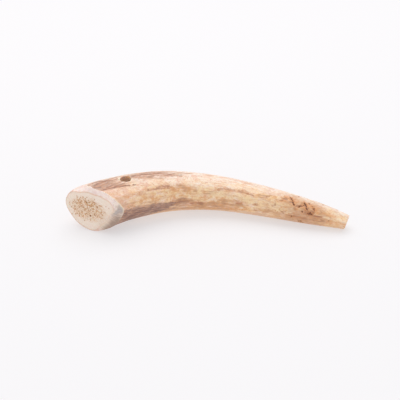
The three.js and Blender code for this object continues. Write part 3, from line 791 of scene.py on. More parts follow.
def loop_round(removed):
    """The loop of grid vertices round a removed patch, in order."""
    quad = removed[:-1] | removed[1:]
    quad = quad | quad[:, nxt]
    edges = {}
    for i, j in np.argwhere(quad):
        k = (j + 1) % NF
        for p, q in (((i, j), (i + 1, j)), ((i + 1, j), (i + 1, k)), ((i + 1, k), (i, k)), ((i, k), (i, j))):
            if (q, p) in edges:
                del edges[(q, p)]
            else:
                edges[(p, q)] = True
    step_to = {p: q for p, q in edges}
    start = next(iter(step_to))
    loop, at = [start], step_to[start]
    while at != start:
        loop.append(at)
        at = step_to[at]
    return loop


rims = {}
for top, removed in ((True, gone_top), (False, gone_low)):
    loop = loop_round(removed)
    loop_ids = np.array([ids[i, j] for i, j in loop])
    outer = np.array([grid[i, j, :2] for i, j in loop])
    circle = np.stack([HOLE_X + HOLE_R * np.cos(turns), HOLE_Y + HOLE_R * np.sin(turns)], -1)
    free = []
    for r, n in ((3.16, 48), (3.36, 50), (3.6, 52), (3.88, 54), (4.2, 58), (4.55, 62), (4.9, 68), (5.25, 72), (5.6, 76)):
        t = 2 * np.pi * (np.arange(n) + 0.5 * (n % 4 == 0)) / n
        free.append(np.stack([HOLE_X + r * np.cos(t), HOLE_Y + r * np.sin(t)], -1))
    free = np.concatenate(free)
    free = free[inside(outer, free)]
    free = apart_from(free, outer, 0.2)
    area = (outer[:, 0] * np.roll(outer[:, 1], -1) - np.roll(outer[:, 0], -1) * outer[:, 1]).sum()
    tris = fill(outer, free, circle)
    if not top:
        tris = tris[:, ::-1]
    new = np.concatenate([circle, free])
    nx, nf = lift(new, top)
    new_ids = sheet.add(skin(nx, nf), nx, nf, K_SKIN, 9.0)
    rims[top] = new_ids[:RIM_N]
    sheet.tris(np.concatenate([loop_ids, new_ids])[tris], SKIN)
co = np.concatenate(sheet.co)
top_at, low_at = co[rims[True]], co[rims[False]]
rows = [rims[True]]
for k in range(1, WALL_ROWS):
    t = k / WALL_ROWS
    t = t + 0.06 * np.sin(2 * np.pi * t) * -1  # closer together at both mouths
    rows.append(sheet.add(top_at + (low_at - top_at) * t, HOLE_X, turns, K_WALL, t))
rows.append(rims[False])
back = (np.arange(RIM_N) + 1) % RIM_N
for upper, lower in zip(rows[:-1], rows[1:]):
    sheet.quads(upper, upper[back], lower[back], lower, WALL)

# =================================================================================================
# Press the detail in and paint the masks
# =================================================================================================
co = np.concatenate(sheet.co)
X, Fa, kind, edge = (np.concatenate(v) for v in (sheet.x, sheet.f, sheet.kind, sheet.edge))
faces, slots = sheet.faces, np.array(sheet.slots)

mesh = bpy.data.meshes.new("antler_bone")
mesh.from_pydata((co - ORIGIN).tolist(), [], faces)
mesh.update()
normals = np.zeros(len(co) * 3, np.float32)
mesh.vertices.foreach_get("normal", normals)
normals = normals.reshape(-1, 3).astype(float)

n = len(co)
on_skin = (kind == K_SKIN) | (kind == K_TIPEDGE)
detail = skin_detail(X, Fa, np.where(on_skin, edge, 0.0))
depth = np.where(on_skin, detail["depth"], 0.0)
deg = np.degrees(Fa)
d_hole = np.hypot(co[:, 0] - HOLE_X, co[:, 1] - HOLE_Y)
hole_turn = np.arctan2(co[:, 1] - HOLE_Y, co[:, 0] - HOLE_X)
mottle, speck = detail["mottle"], detail["speck"]

# the bevel: a few flat strokes of the sander, and its fine scratches
at_bevel = kind == K_BEVEL
bevel_noise = fbm(co / (2.4, 2.4, 1.1), 71, 3)
t_bevel = np.where(at_bevel & (edge > -8.9), 1.0, 0.0)
depth = np.where(at_bevel, t_bevel * (0.03 + 0.07 * (0.5 + 0.5 * bevel_noise)), depth)

# the sawn face: pores and saw marks
at_face = kind == K_FACE
fp = on_face(co)
pore_depth, pore, halo = np.zeros(n), np.zeros(n), np.zeros(n)
sel = at_face | (kind == K_BEVEL) & (edge < -8.9)
pore_depth[sel], pore[sel], halo[sel] = pore_field(fp[sel])
core = np.where(sel, core_at(fp), 0.0)
SAW = np.radians(-47)  # the way the marks run, from across towards up
saw = fp[:, 0] * -np.sin(SAW) + fp[:, 1] * np.cos(SAW)
marks = noise(np.stack([saw / 0.55, (fp[:, 0] * np.cos(SAW) + fp[:, 1] * np.sin(SAW)) / 14, 0 * saw], -1), 81)
sponge = fbm(np.stack([fp[:, 0] / 0.9, fp[:, 1] / 0.9, 0 * saw], -1), 82, 3)
depth = np.where(at_face, 0.02 + 0.018 * (1 + marks) + core * 0.07 * smooth((-sponge + 0.1) / 0.5) + pore_depth, depth)

# the tip's end: a few fine saw marks and a small soft core
at_tip = kind == K_TIP
tp = np.stack([(co - tip_centre) @ tip_a, (co - tip_centre) @ tip_b, 0 * X], -1)
tip_core = np.where(at_tip, smooth((1.5 - np.hypot(tp[:, 0], tp[:, 1]) + 0.5 * noise(tp / 0.9, 91)) / 1.1), 0.0)
depth = np.where(at_tip, 0.02 + 0.02 * (0.5 + 0.5 * noise(tp / (3, 0.35, 1), 92)) + 0.12 * tip_core * smooth((noise(tp / 0.35, 93) - 0.1) / 0.4), depth)

# the edge between the face and the bevel: worn round, most at the right and below
run_in = (start_at - face_edge) / width[:, None]
turn_edge = np.arcsin(np.clip(np.abs(run_in @ CUT_FACING), 0, 0.98))
edge_round = 0.5 + 2.6 * np.exp(-((apart(angles, -165) / 62) ** 2))
edge_round = np.minimum(edge_round, 0.42 * width / np.maximum(np.tan(turn_edge / 2), 0.05))
edge_reach = edge_round * np.tan(turn_edge / 2)
out_of = np.where(at_bevel, edge + np.interp(deg, np.degrees(angles), width, period=360), 9.0)  # from the face's edge
out_of = np.where(at_bevel & (edge < -8.9), 0.0, out_of)
rim_turn = Fa.copy()
where = np.flatnonzero(at_face)
d_rim = np.where(at_face, 9.0, out_of)
for i in range(0, len(where), 2000):
    part = where[i : i + 2000]
    d2 = ((fp[part][:, None] - outline[None]) ** 2).sum(-1)
    d_rim[part], rim_turn[part] = np.sqrt(d2.min(1)), angles[d2.argmin(1)]
radius_here = np.interp(np.degrees(rim_turn), np.degrees(angles), edge_round, period=360)
reach_here = np.interp(np.degrees(rim_turn), np.degrees(angles), edge_reach, period=360)
t = np.clip(reach_here - d_rim, 0, None)
rounding = np.where(at_face | at_bevel, radius_here - np.sqrt(np.maximum(radius_here**2 - t**2, 0)), 0.0)
depth = depth + rounding

press = -normals * depth[:, None]

# the hole's mouths: a small round of the edge everywhere, and chips on two sides of the upper mouth
top_side = on_skin & (np.sin(Fa) > 0)
left = np.exp(-((apart(hole_turn, 186) / 46) ** 2))
right = np.exp(-((apart(hole_turn, -14) / 30) ** 2))
reach_left, reach_right = 1.5 * left + 0.15 * mottle * left, 0.95 * right
lip_width = 0.14 + np.maximum(reach_left, reach_right) + 0.05 * speck
lip = np.where(top_side, 1 - smooth((d_hole - HOLE_R) / np.maximum(lip_width, 0.05)), 0.0)
lip_depth = lip * (0.08 + 0.62 * left + 0.42 * right)
low_side = on_skin & (np.sin(Fa) < 0)
low_lip = np.where(low_side, 1 - smooth((d_hole - HOLE_R) / (0.45 + 0.25 * mottle)), 0.0)
press[:, 2] -= np.where(d_hole < 6, lip_depth, 0.0)
press[:, 2] += np.where(d_hole < 6, 0.3 * low_lip, 0.0)
lip = np.where(d_hole < 6, np.maximum(np.clip(1.7 * lip, 0, 1) * np.clip(1.9 * np.maximum(left, right) - 0.45, 0, 1), 0.6 * low_lip), 0.0)
lip_pit = np.where(top_side, np.exp(-(((co[:, 0] - (HOLE_X - 3.75)) / 0.42) ** 2) - ((co[:, 1] - (HOLE_Y - 0.7)) / 0.5) ** 2), 0.0)
press[:, 2] -= 0.35 * lip_pit

# the drilled wall: pits of the spongy core and the drill's faint rings, cut outwards
at_wall = kind == K_WALL
wall_top = np.interp(np.mod(Fa, 2 * np.pi), turns, top_at[:, 2], period=2 * np.pi)
wall_low = np.interp(np.mod(Fa, 2 * np.pi), turns, low_at[:, 2], period=2 * np.pi)
from_mouth = np.minimum(wall_top - co[:, 2], co[:, 2] - wall_low)
wall_core = np.where(at_wall, smooth((from_mouth - 1.4) / 2.2), 0.0)
round_way = np.stack([np.cos(hole_turn), np.sin(hole_turn), 0 * X], -1)
wall_pits = smooth((fbm(co / 0.8, 95, 2) - 0.05) / 0.4)
widen = np.where(at_wall, 0.02 * (1 + np.sin(co[:, 2] * 2 * np.pi / 0.9)) + wall_core * 0.32 * wall_pits, 0.0)
press += round_way * widen[:, None]
# the wall's top rows follow the chipped lip down, so that the edge isn't a knife
rim_drop = np.interp(np.mod(Fa, 2 * np.pi), turns, press[rims[True]][:, 2], period=2 * np.pi)
low_rise = np.interp(np.mod(Fa, 2 * np.pi), turns, press[rims[False]][:, 2], period=2 * np.pi)
from_top = np.where(at_wall, wall_top - co[:, 2], 9.0)
from_low = np.where(at_wall, co[:, 2] - wall_low, 9.0)
press[:, 2] += np.where(at_wall, rim_drop * np.exp(-from_top / 1.6) + low_rise * np.exp(-from_low / 1.6), 0.0)

co = co + press
out = (co - ORIGIN) / 1000
low, high = np.array(cad_box[0]), np.array(cad_box[1])
out = np.clip(out, low + 2e-6, high - 2e-6)
mesh.vertices.foreach_set("co", out.astype(np.float32).ravel())
mesh.polygons.foreach_set("material_index", slots.astype(np.int32))
mesh.polygons.foreach_set("use_smooth", np.ones(len(faces), bool))
mesh.update()


def attribute(name, values):
    values = np.asarray(values, float)
    vector = values.ndim == 2
    layer = mesh.attributes.new(name, "FLOAT_VECTOR" if vector else "FLOAT", "POINT")
    layer.data.foreach_set("vector" if vector else "value", values.astype(np.float32).ravel())


# how far into honey from cream, round the tine and along it
front = np.clip(deg % 360, 0, 360)
patch, streak_n, broken_n = detail["patch"], detail["streak"], detail["broken"]
back_turn = smooth((52 - front) / 52) * (front < 90)  # from the top round to the back, where front starts again at 0
warm = np.maximum(smooth((front - 100 + 26 * smooth((X - 10) / 34)) / 60), back_turn)
warm = warm + 0.3 * patch + 0.15 * mottle
warm = warm * (1 - 0.25 * smooth((X - 62) / 14))
# the underside: duller, greyer brown, partly the bone's own colour and partly painted shade
under = np.where(front < 90, 0.45 * back_turn, smooth((front - 186 + 18 * patch) / 34) * (1 - 0.55 * smooth((front - 262) / 60)))
# the older, browner stretch before the tip
aged = smooth((X - 26 + 10 * patch) / 24) * (1 - smooth((X - 60 + 10 * patch + 3 * mottle) / 14))
aged = aged * (np.where(front < 66, 0.55 * back_turn, 0.88 * smooth((front - 64) / 62)) + 0.12 + 0.18 * smooth((X - 38) / 12)) * (1 - 0.33 * smooth((front - 210) / 50))
aged = aged * (0.62 + 0.38 * smooth((X - 46) / 8) + 0.3 * smooth((X - 48) / 8) * np.exp(-((apart(Fa, 182) / 30) ** 2)))
# sanded bare along the bevel, its edge drawn out into fingers along the grain on the upper side
upper = np.exp(-((apart(Fa, 72) / 36) ** 2))
fingers = (0.3 + 0.9 * upper) * np.clip(1.1 * streak_n + 0.9 * broken_n + 0.5 * detail["thread"], -1, 1)
bare = np.where(at_bevel, 1.0, np.where(on_skin, 1 - smooth((edge - 0.15 + 0.35 * upper + 1.1 * fingers + 0.2 * speck) / (0.5 + 0.5 * upper)), 0.0))
# the bevel's right side greyer and darker: partly the bone's own grey, partly painted shade
grey_and_shade = np.exp(-((apart(Fa, 174) / 14) ** 2)) + 0.12 * np.exp(-((apart(Fa, -150) / 20) ** 2)) + 0.12 * np.exp(-((apart(Fa, 150) / 12) ** 2))
grey_and_shade = grey_and_shade * (1 - 0.8 * np.exp(-((apart(Fa, 164) / 7) ** 2) - (((edge + 3.4) / 1.1) ** 2)))
# a cream line on the skin just outside the bevel's right side: pale compact bone with a painted highlight along the
# edge
lip_line_highlight = np.where(on_skin, np.exp(-(((edge - 0.35) / 0.45) ** 2)), 0.0) * np.exp(-((apart(Fa, 164) / 30) ** 2))
narrow = 1 - smooth((np.interp(deg, np.degrees(angles), width, period=360) - 1.7) / 1.0)  # where the bevel is a mere line
rim_line = np.where(at_bevel, narrow, 0.0) * smooth((edge + 9.5) / 0.5)

# darker, browner towards the bottom of the bevel and along the face's lower edge
darker_below = np.exp(-((apart(Fa, -142) / 36) ** 2)) * (at_bevel | on_skin)
face_rim = np.exp(-((d_rim / 0.34) ** 2)) * (1 - 0.9 * np.exp(-((apart(rim_turn, -152) / 46) ** 2)))
attribute("darker_below", darker_below)
attribute("face_darker_below", np.where(at_face, np.exp(-((apart(rim_turn, -142) / 40) ** 2) - (d_rim / 2.2) ** 2), 0.0))
attribute("out_of", np.where(at_bevel, out_of, 9.0))
rosy = smooth((-26 - X + 8 * patch) / 22)
attribute("age_and_shade", np.stack([np.clip(under, 0, 1), np.clip(aged, 0, 1), rosy], -1))
attribute("face_rim", face_rim)
upper_left = smooth((-43 - X) / 5) * np.exp(-((apart(Fa, 92) / 30) ** 2))
attribute("calm", np.maximum(0.8 * upper_left, 0.85 * smooth((X - 63) / 7)))
upper_mid = smooth((X + 36) / 14) * smooth((front - 112) / 12) * smooth((180 + 18 * smooth((X + 22) / 8) - front) / 20)
attribute("heavy", detail["heavy"])
attribute("blushed", smooth((-41 - X + 4 * patch) / 9) * smooth((front - 98) / 20) * smooth((204 - front) / 20))
attribute("plum", 1 - 0.75 * np.maximum(smooth((X + 16 + 8 * patch) / 22), upper_mid))
# painted light: an orange glow high on the wall, at the upper right of the top mouth, standing in for light shining
# through the thin bone
attribute("painted_glow", np.where(at_wall, np.exp(-((apart(hole_turn, 56) / 30) ** 2)) * (1 - smooth((from_top - 0.7 + 0.4 * mottle) / 1.4)), 0.0))
chipped = np.maximum(np.exp(-((apart(hole_turn, 8) / 32) ** 2)), 0.8 * np.exp(-((apart(hole_turn, 184) / 30) ** 2)))
attribute("chipped", np.where(at_wall, chipped * (1 - smooth((from_top - 1.3 - 0.9 * np.exp(-((apart(hole_turn, 8) / 40) ** 2)) + 0.6 * mottle) / 0.9)), 0.0))
grain = detail["grain"].copy()
grain[:, 0] += np.where(at_bevel, 4.0 * edge * (edge > -8.9), 0.0)
attribute("grain", grain)
attribute("tone", np.stack([np.clip(warm, 0, 1), detail["stain"], detail["ochre"]], -1))
attribute("mark", np.stack([detail["groove"], detail["pale"], detail["crack"]], -1))
attribute("relief", np.stack([detail["hollow"], detail["ridge"], np.clip(depth, 0, 1)], -1))
attribute("sanded_shade_highlight", np.stack([bare, np.clip(grey_and_shade, 0, 1), lip_line_highlight], -1))
attribute("lip", np.stack([lip, lip_pit, rim_line], -1))
attribute("cut", np.stack([core, pore, halo], -1))
attribute("face_at", np.stack([fp[:, 0], fp[:, 1], saw], -1))
attribute("wall", np.stack([wall_core, np.where(at_wall, wall_pits, 0), np.where(at_wall, from_mouth, 0)], -1))
attribute("tip_at", np.stack([tp[:, 0], tp[:, 1], tip_core], -1))

antler = bpy.data.objects.new("antler_bone", mesh)
bpy.context.scene.collection.objects.link(antler)


# =================================================================================================
# Materials
# =================================================================================================
def linear(r, g, b):
    return tuple(v / 12.92 if v <= 0.04045 else ((v + 0.055) / 1.055) ** 2.4 for v in (r / 255, g / 255, b / 255)) + (1.0,)


class Nodes:
    """Short names for the shader nodes used here."""

    def __init__(self, name, roughness=0.5):
        self.material = bpy.data.materials.new(name)
        self.material.use_nodes = True
        self.tree = self.material.node_tree
        self.tree.nodes.clear()
        self.out = self.tree.nodes.new("ShaderNodeOutputMaterial")
        self.shader = self.tree.nodes.new("ShaderNodeBsdfPrincipled")
        self.shader.inputs["Roughness"].default_value = roughness
        self.link(self.shader.outputs[0], self.out.inputs[0])

    def link(self, a, b):
        self.tree.links.new(a, b)

    def feed(self, socket, value):
        if isinstance(value, bpy.types.NodeSocket):
            self.link(value, socket)
        else:
            socket.default_value = value

    def attribute(self, name):
        node = self.tree.nodes.new("ShaderNodeAttribute")
        node.attribute_name = name
        return node.outputs["Vector"]

    def attribute_value(self, name):
        node = self.tree.nodes.new("ShaderNodeAttribute")
        node.attribute_name = name
        return node.outputs["Fac"]

    def split(self, vector):
        node = self.tree.nodes.new("ShaderNodeSeparateXYZ")
        self.feed(node.inputs[0], vector)
        return node.outputs[0], node.outputs[1], node.outputs[2]

    def scaled(self, vector, by, shift=(0, 0, 0)):
        node = self.tree.nodes.new("ShaderNodeVectorMath")
        node.operation = "MULTIPLY_ADD"
        self.feed(node.inputs[0], vector)
        node.inputs[1].default_value = by
        node.inputs[2].default_value = shift
        return node.outputs[0]

    def noise(self, vector, scale=1.0, detail=2.0, rough=0.5, distortion=0.0):
        node = self.tree.nodes.new("ShaderNodeTexNoise")
        self.feed(node.inputs["Vector"], vector)
        node.inputs["Scale"].default_value = scale
        node.inputs["Detail"].default_value = detail
        node.inputs["Roughness"].default_value = rough
        node.inputs["Distortion"].default_value = distortion
        return node.outputs[0]

    def cells(self, vector, scale=1.0, feature="F1", smoothness=None):
        node = self.tree.nodes.new("ShaderNodeTexVoronoi")
        node.feature = feature
        self.feed(node.inputs["Vector"], vector)
        node.inputs["Scale"].default_value = scale
        return node.outputs["Distance"]

    def math(self, operation, a, b=0.0, clamp=False):
        node = self.tree.nodes.new("ShaderNodeMath")
        node.operation = operation
        node.use_clamp = clamp
        self.feed(node.inputs[0], a)
        self.feed(node.inputs[1], b)
        return node.outputs[0]

    def add(self, a, b, clamp=False):
        return self.math("ADD", a, b, clamp)

    def times(self, a, b, clamp=False):
        return self.math("MULTIPLY", a, b, clamp)

    def step(self, value, low, high, to_low=0.0, to_high=1.0):
        """Smoothly from to_low at low to to_high at high."""
        node = self.tree.nodes.new("ShaderNodeMapRange")
        node.interpolation_type = "SMOOTHSTEP"
        self.feed(node.inputs["Value"], value)
        node.inputs["From Min"].default_value = low
        node.inputs["From Max"].default_value = high
        node.inputs["To Min"].default_value = to_low
        node.inputs["To Max"].default_value = to_high
        return node.outputs[0]

    def mix(self, a, b, amount, blend="MIX"):
        node = self.tree.nodes.new("ShaderNodeMix")
        node.data_type = "RGBA"
        node.blend_type = blend
        node.clamp_factor = True
        self.feed(node.inputs["Factor"], amount)
        self.feed(node.inputs[6], a)
        self.feed(node.inputs[7], b)
        return node.outputs[2]

    def bump(self, height, distance, strength=1.0, normal=None):
        node = self.tree.nodes.new("ShaderNodeBump")
        node.inputs["Strength"].default_value = strength
        node.inputs["Distance"].default_value = distance
        self.feed(node.inputs["Height"], height)
        if normal is not None:
            self.link(normal, node.inputs["Normal"])
        return node.outputs[0]


CREAM, PINK, HONEY, TAN = linear(252, 239, 227), linear(245, 204, 184), linear(253, 219, 170), linear(229, 178, 128)
BROWN, PLUM, UMBER, OCHRE = linear(166, 124, 106), linear(132, 99, 95), linear(108, 64, 40), linear(224, 150, 84)
RUST, IVORY, LIP, DULL = linear(204, 136, 96), linear(254, 238, 212), linear(254, 240, 216), linear(214, 174, 146)
CHALK, GREY_AND_SHADE, LOWER_BEVEL_TONE, SAND = linear(255, 239, 232), linear(192, 182, 177), linear(172, 146, 130), linear(240, 200, 160)
AGED, BEIGE = linear(212, 167, 132), linear(250, 232, 216)

# ---- the skin, its bevel and the tip's edge -----------------------------------------------------
m = Nodes("antler_skin", 0.5)
grain = m.attribute("grain")
warm_s, stain_s, ochre_s = m.split(m.attribute("tone"))
groove_s, pale_s, crack_s = m.split(m.attribute("mark"))
hollow_s, ridge_s, depth_s = m.split(m.attribute("relief"))
bare_s, grey_and_shade_s, lipline_highlight_s = m.split(m.attribute("sanded_shade_highlight"))
lip_s, lippit_s, rimline_s = m.split(m.attribute("lip"))
under_tone_and_shade_s, aged_s, rosy_s = m.split(m.attribute("age_and_shade"))
tex = m.tree.nodes.new("ShaderNodeTexCoord")
place = m.scaled(tex.outputs["Object"], (1000, 1000, 1000))


def clouds(by, shift, detail=4, rough=0.6, distortion=0.0, low=0.37, high=0.63):
    """Noise along the grain, spread out to fill 0 to 1."""
    return m.step(m.noise(m.scaled(grain, by, shift), 1, detail, rough, distortion), low, high)


patches = clouds((0.07, 0.16, 0.16), (3, 1, 2), 3)
mottles = clouds((0.19, 0.34, 0.34), (1, 8, 3), 4, 0.6, 0.5, 0.34, 0.66)
blotches = clouds((0.42, 0.7, 0.7), (6, 3, 8), 4, 0.6, 0.4, 0.34, 0.66)
blush = clouds((0.17, 0.3, 0.3), (7, 3, 9), 5, 0.68, 0.5, 0.34, 0.66)
amber = clouds((0.28, 0.5, 0.5), (2, 5, 6), 5, 0.68, 0.5, 0.34, 0.66)
streaks = clouds((0.09, 0.8, 0.8), (9, 2, 5), 4, 0.62, 0.3)
threads = clouds((0.22, 1.4, 1.4), (2, 9, 5), 4, 0.66, 0.3)
fibres = clouds((0.6, 3.2, 3.2), (4, 4, 7), 3)
specks = clouds((1.2, 1.7, 1.7), (2, 6, 1), 3, 0.65)
strands = clouds((0.16, 2.1, 2.1), (7, 7, 2), 4, 0.62, 0.4)


def ragged(mask, texture, amount, low, high, by=None):
    """The mask with its edge broken up by a texture."""
    broken = m.times(m.add(texture, -0.5), amount)
    return m.step(m.add(mask, broken if by is None else m.times(broken, by)), low, high)


warm_t = m.add(warm_s, m.times(m.add(mottles, -0.5), 0.45))
warm_t = m.add(warm_t, m.times(m.add(patches, -0.5), 0.25), True)
calm_s = m.attribute_value("calm")
lively_s = m.step(calm_s, 0.0, 1.0, 1.0, 0.15)
level_s = m.step(calm_s, 0.0, 1.0, 1.0, 0.42)
colour = m.mix(CREAM, HONEY, warm_t)
colour = m.mix(colour, linear(246, 205, 177), m.times(m.times(rosy_s, warm_s), m.step(amber, 0.0, 1.0, 0.85, 0.45)))
colour = m.mix(colour, linear(236, 194, 172), m.times(m.attribute_value("blushed"), m.step(amber, 0.0, 1.0, 0.75, 0.45)))
colour = m.mix(colour, PINK, m.times(m.times(m.step(blush, 0.5, 1.0), level_s), 0.75))
colour = m.mix(colour, OCHRE, m.times(m.times(m.times(m.step(amber, 0.56, 1.0), warm_s), level_s), m.step(rosy_s, 0.0, 1.0, 0.5, 0.3)))
colour = m.mix(colour, linear(251, 231, 222), m.times(m.times(m.step(amber, 0.36, 0.0), level_s), 0.62))
colour = m.mix(colour, TAN, m.times(m.step(blotches, 0.5, 1.0), m.step(patches, 0.0, 1.0, 0.05, 0.3)))
colour = m.mix(colour, SAND, m.times(m.times(m.step(streaks, 0.5, 1.0), lively_s), 0.18))
colour = m.mix(colour, TAN, m.times(m.times(hollow_s, lively_s), 0.1))
colour = m.mix(colour, IVORY, m.times(m.times(m.step(mottles, 0.45, 0.0), level_s), m.step(blotches, 0.6, 0.1, 0.0, 0.45)))
colour = m.mix(colour, RUST, m.times(m.times(m.step(specks, 0.65, 1.0), m.step(amber, 0.3, 0.9)), 0.32))
# the underside duller and browner: partly the bone's own colour, partly painted shade
colour = m.mix(colour, m.mix(linear(222, 173, 126), DULL, rosy_s), m.times(ragged(under_tone_and_shade_s, mottles, 0.4, 0.0, 1.0), m.step(rosy_s, 0.0, 0.6, 0.5, 0.8)))
colour = m.mix(colour, AGED, m.times(ragged(aged_s, blush, 0.7, 0.0, 1.1), 0.72))
colour = m.mix(colour, linear(255, 231, 190), m.times(ragged(pale_s, mottles, 0.4, 0.1, 1.0), 0.66))
colour = m.mix(colour, OCHRE, m.times(ragged(ochre_s, amber, 0.5, 0.1, 1.0), 0.62))
plum_s = m.attribute_value("plum")
colour = m.mix(colour, m.mix(linear(220, 164, 112), linear(206, 158, 128), plum_s), m.times(ragged(stain_s, streaks, 0.5, 0.0, 0.6, lively_s), 0.7))
colour = m.mix(colour, m.mix(linear(176, 122, 86), BROWN, plum_s), m.times(ragged(stain_s, streaks, 0.5, 0.25, 1.05, lively_s), 0.75))
colour = m.mix(colour, PLUM, m.times(ragged(stain_s, threads, 0.95, 0.45, 1.2), m.times(plum_s, 0.85)))
colour = m.mix(colour, linear(214, 176, 150), m.times(m.times(m.times(stain_s, lively_s), m.step(threads, 0.6, 1.0)), 0.6))
heavy_s = m.attribute_value("heavy")
colour = m.mix(colour, linear(116, 92, 88), m.times(m.times(ragged(heavy_s, streaks, 0.5, 0.2, 0.9), m.step(strands, 0.6, 0.15)), 0.62))
colour = m.mix(colour, linear(196, 166, 150), m.times(m.times(ragged(heavy_s, streaks, 0.5, 0.2, 0.9), m.step(strands, 0.62, 1.0)), 0.5))
colour = m.mix(colour, RUST, m.times(ragged(groove_s, specks, 0.3, 0.0, 0.7), 0.6))
colour = m.mix(colour, m.mix(linear(170, 118, 92), PLUM, plum_s), m.times(ragged(groove_s, threads, 0.5, 0.2, 1.15), m.step(plum_s, 0.25, 1.0, 0.65, 0.85)))
colour = m.mix(colour, OCHRE, m.times(ragged(crack_s, specks, 0.3, 0.0, 0.4), 0.6))
colour = m.mix(colour, RUST, m.times(ragged(crack_s, specks, 0.4, 0.15, 0.7), 0.6))
colour = m.mix(colour, UMBER, m.times(ragged(crack_s, specks, 0.5, 0.3, 0.85), 0.95))
# the sanded bevel, beige like the sawn face where it starts, greyer at its right partly from painted shade, with
# painted highlights, and the hole's bare lip
out_s = m.attribute_value("out_of")
scuffs = m.step(m.noise(m.scaled(place, (0.5, 0.5, 0.36)), 1, 4, 0.62, 0.5), 0.35, 0.65)
scratch = m.step(m.noise(m.scaled(m.attribute("face_at"), (0.22, 0.22, 1.6), (5, 1, 2)), 1, 4, 0.66), 0.3, 0.7)
bone = m.mix(CHALK, linear(246, 217, 208), m.times(m.step(scuffs, 0.35, 1.0), 0.65))
# greyer, darker bevel at its right: partly the bone's own grey, partly painted shade; darker beige towards its bottom
bone = m.mix(bone, linear(238, 218, 198), m.times(m.step(m.math("MAXIMUM", m.attribute_value("darker_below"), grey_and_shade_s), 0.15, 0.7), 0.9))
bone = m.mix(bone, GREY_AND_SHADE, m.times(m.times(ragged(grey_and_shade_s, scuffs, 0.4, 0.1, 0.9), m.step(m.add(out_s, m.times(scuffs, 1.2)), 0.9, 3.0)), 0.95))
# painted highlight: pale whitish stripes over the grey patch where the scuffs are strongest
bone = m.mix(bone, linear(228, 226, 228), m.times(m.times(grey_and_shade_s, m.step(out_s, 0.6, 1.6)), m.step(scuffs, 0.7, 1.0, 0.0, 0.2)))
# darker and browner towards the bottom of the bevel, broken up by its scratches
bone = m.mix(bone, LOWER_BEVEL_TONE, m.times(m.times(ragged(m.attribute_value("darker_below"), scratch, 0.6, 0.05, 0.95), m.step(m.add(out_s, m.times(scratch, 0.9)), 0.8, 4.6)), 0.95))
bone = m.mix(bone, linear(226, 178, 136), m.times(m.attribute_value("face_rim"), 0.6))
colour = m.mix(colour, bone, ragged(bare_s, threads, 0.35, 0.3, 0.75))
# painted highlight along the skin's edge outside the bevel, on pale compact bone
colour = m.mix(colour, LIP, m.times(lipline_highlight_s, 0.8))
colour = m.mix(colour, LIP, m.times(ragged(lip_s, specks, 0.3, 0.15, 0.6), 0.9))
colour = m.mix(colour, BROWN, m.times(lippit_s, 0.9))
colour = m.mix(colour, RUST, m.times(rimline_s, 0.4))
# fine fibres over everything
colour = m.mix(colour, linear(236, 208, 184), m.times(m.step(fibres, 0.35, 1.0, 0.0, 0.26), m.step(calm_s, 0.0, 1.0, 1.0, 0.5)), "MULTIPLY")
m.feed(m.shader.inputs["Base Color"], colour)
rough = m.add(m.step(mottles, 0.0, 1.0, 0.42, 0.56), m.times(m.math("MAXIMUM", stain_s, m.math("MAXIMUM", groove_s, bare_s)), 0.2))
m.feed(m.shader.inputs["Roughness"], m.math("MINIMUM", rough, 0.9))
height = m.add(m.times(fibres, 0.35), m.add(m.times(streaks, 0.5), m.times(specks, 0.3)))
m.feed(m.shader.inputs["Normal"], m.bump(height, 0.00008, 0.7))
m.shader.inputs["Subsurface Weight"].default_value = 0.12
m.shader.inputs["Subsurface Radius"].default_value = (1.0, 0.55, 0.35)
m.shader.inputs["Subsurface Scale"].default_value = 0.0012
m.shader.inputs["IOR"].default_value = 1.54
m.shader.inputs["Coat Weight"].default_value = 0.2
m.shader.inputs["Coat Roughness"].default_value = 0.38
antler_skin = m.material

# ---- the sawn face ------------------------------------------------------------------------------
m = Nodes("sawn_core", 0.75)
core_s, pore_s, halo_s = m.split(m.attribute("cut"))
face_v = m.attribute("face_at")
CORE, AMBER, DEEP = linear(236, 205, 172), linear(210, 146, 80), linear(150, 84, 32)
darker_below_s = m.attribute_value("face_darker_below")
lace = m.cells(m.scaled(face_v, (1, 1, 0)), 1.5)
lace_fine = m.cells(m.scaled(face_v, (1, 1, 0), (5, 5, 0)), 3.0)
cloud = m.step(m.noise(m.scaled(face_v, (0.3, 0.3, 0), (1, 2, 0)), 1, 4, 0.62), 0.35, 0.65)
tiny = m.step(m.noise(m.scaled(face_v, (1.3, 1.3, 0), (4, 2, 0)), 1, 4, 0.65), 0.35, 0.65)
saws = m.step(m.noise(m.scaled(face_v, (0.1, 0.1, 1.5), (5, 1, 2)), 1, 3, 0.6), 0.35, 0.65)
colour = m.mix(BEIGE, CORE, m.times(core_s, m.step(cloud, 0.0, 1.0, 0.55, 1.0)))
colour = m.mix(colour, linear(255, 244, 232), m.times(m.step(tiny, 0.45, 0.0), 0.75))
colour = m.mix(colour, AMBER, m.times(m.times(core_s, m.step(lace, 0.36, 0.14, 0.0, 1.0)), m.step(cloud, 0.2, 1.0, 0.0, 0.35)))
colour = m.mix(colour, AMBER, m.times(m.times(core_s, m.step(tiny, 0.55, 1.0)), 0.5))
colour = m.mix(colour, AMBER, m.times(m.step(halo_s, 0.25, 1.0), 0.6))
colour = m.mix(colour, DEEP, m.step(pore_s, 0.1, 0.6, 0.0, 0.95))
colour = m.mix(colour, linear(70, 58, 52), m.step(pore_s, 0.75, 1.0, 0.0, 0.9))
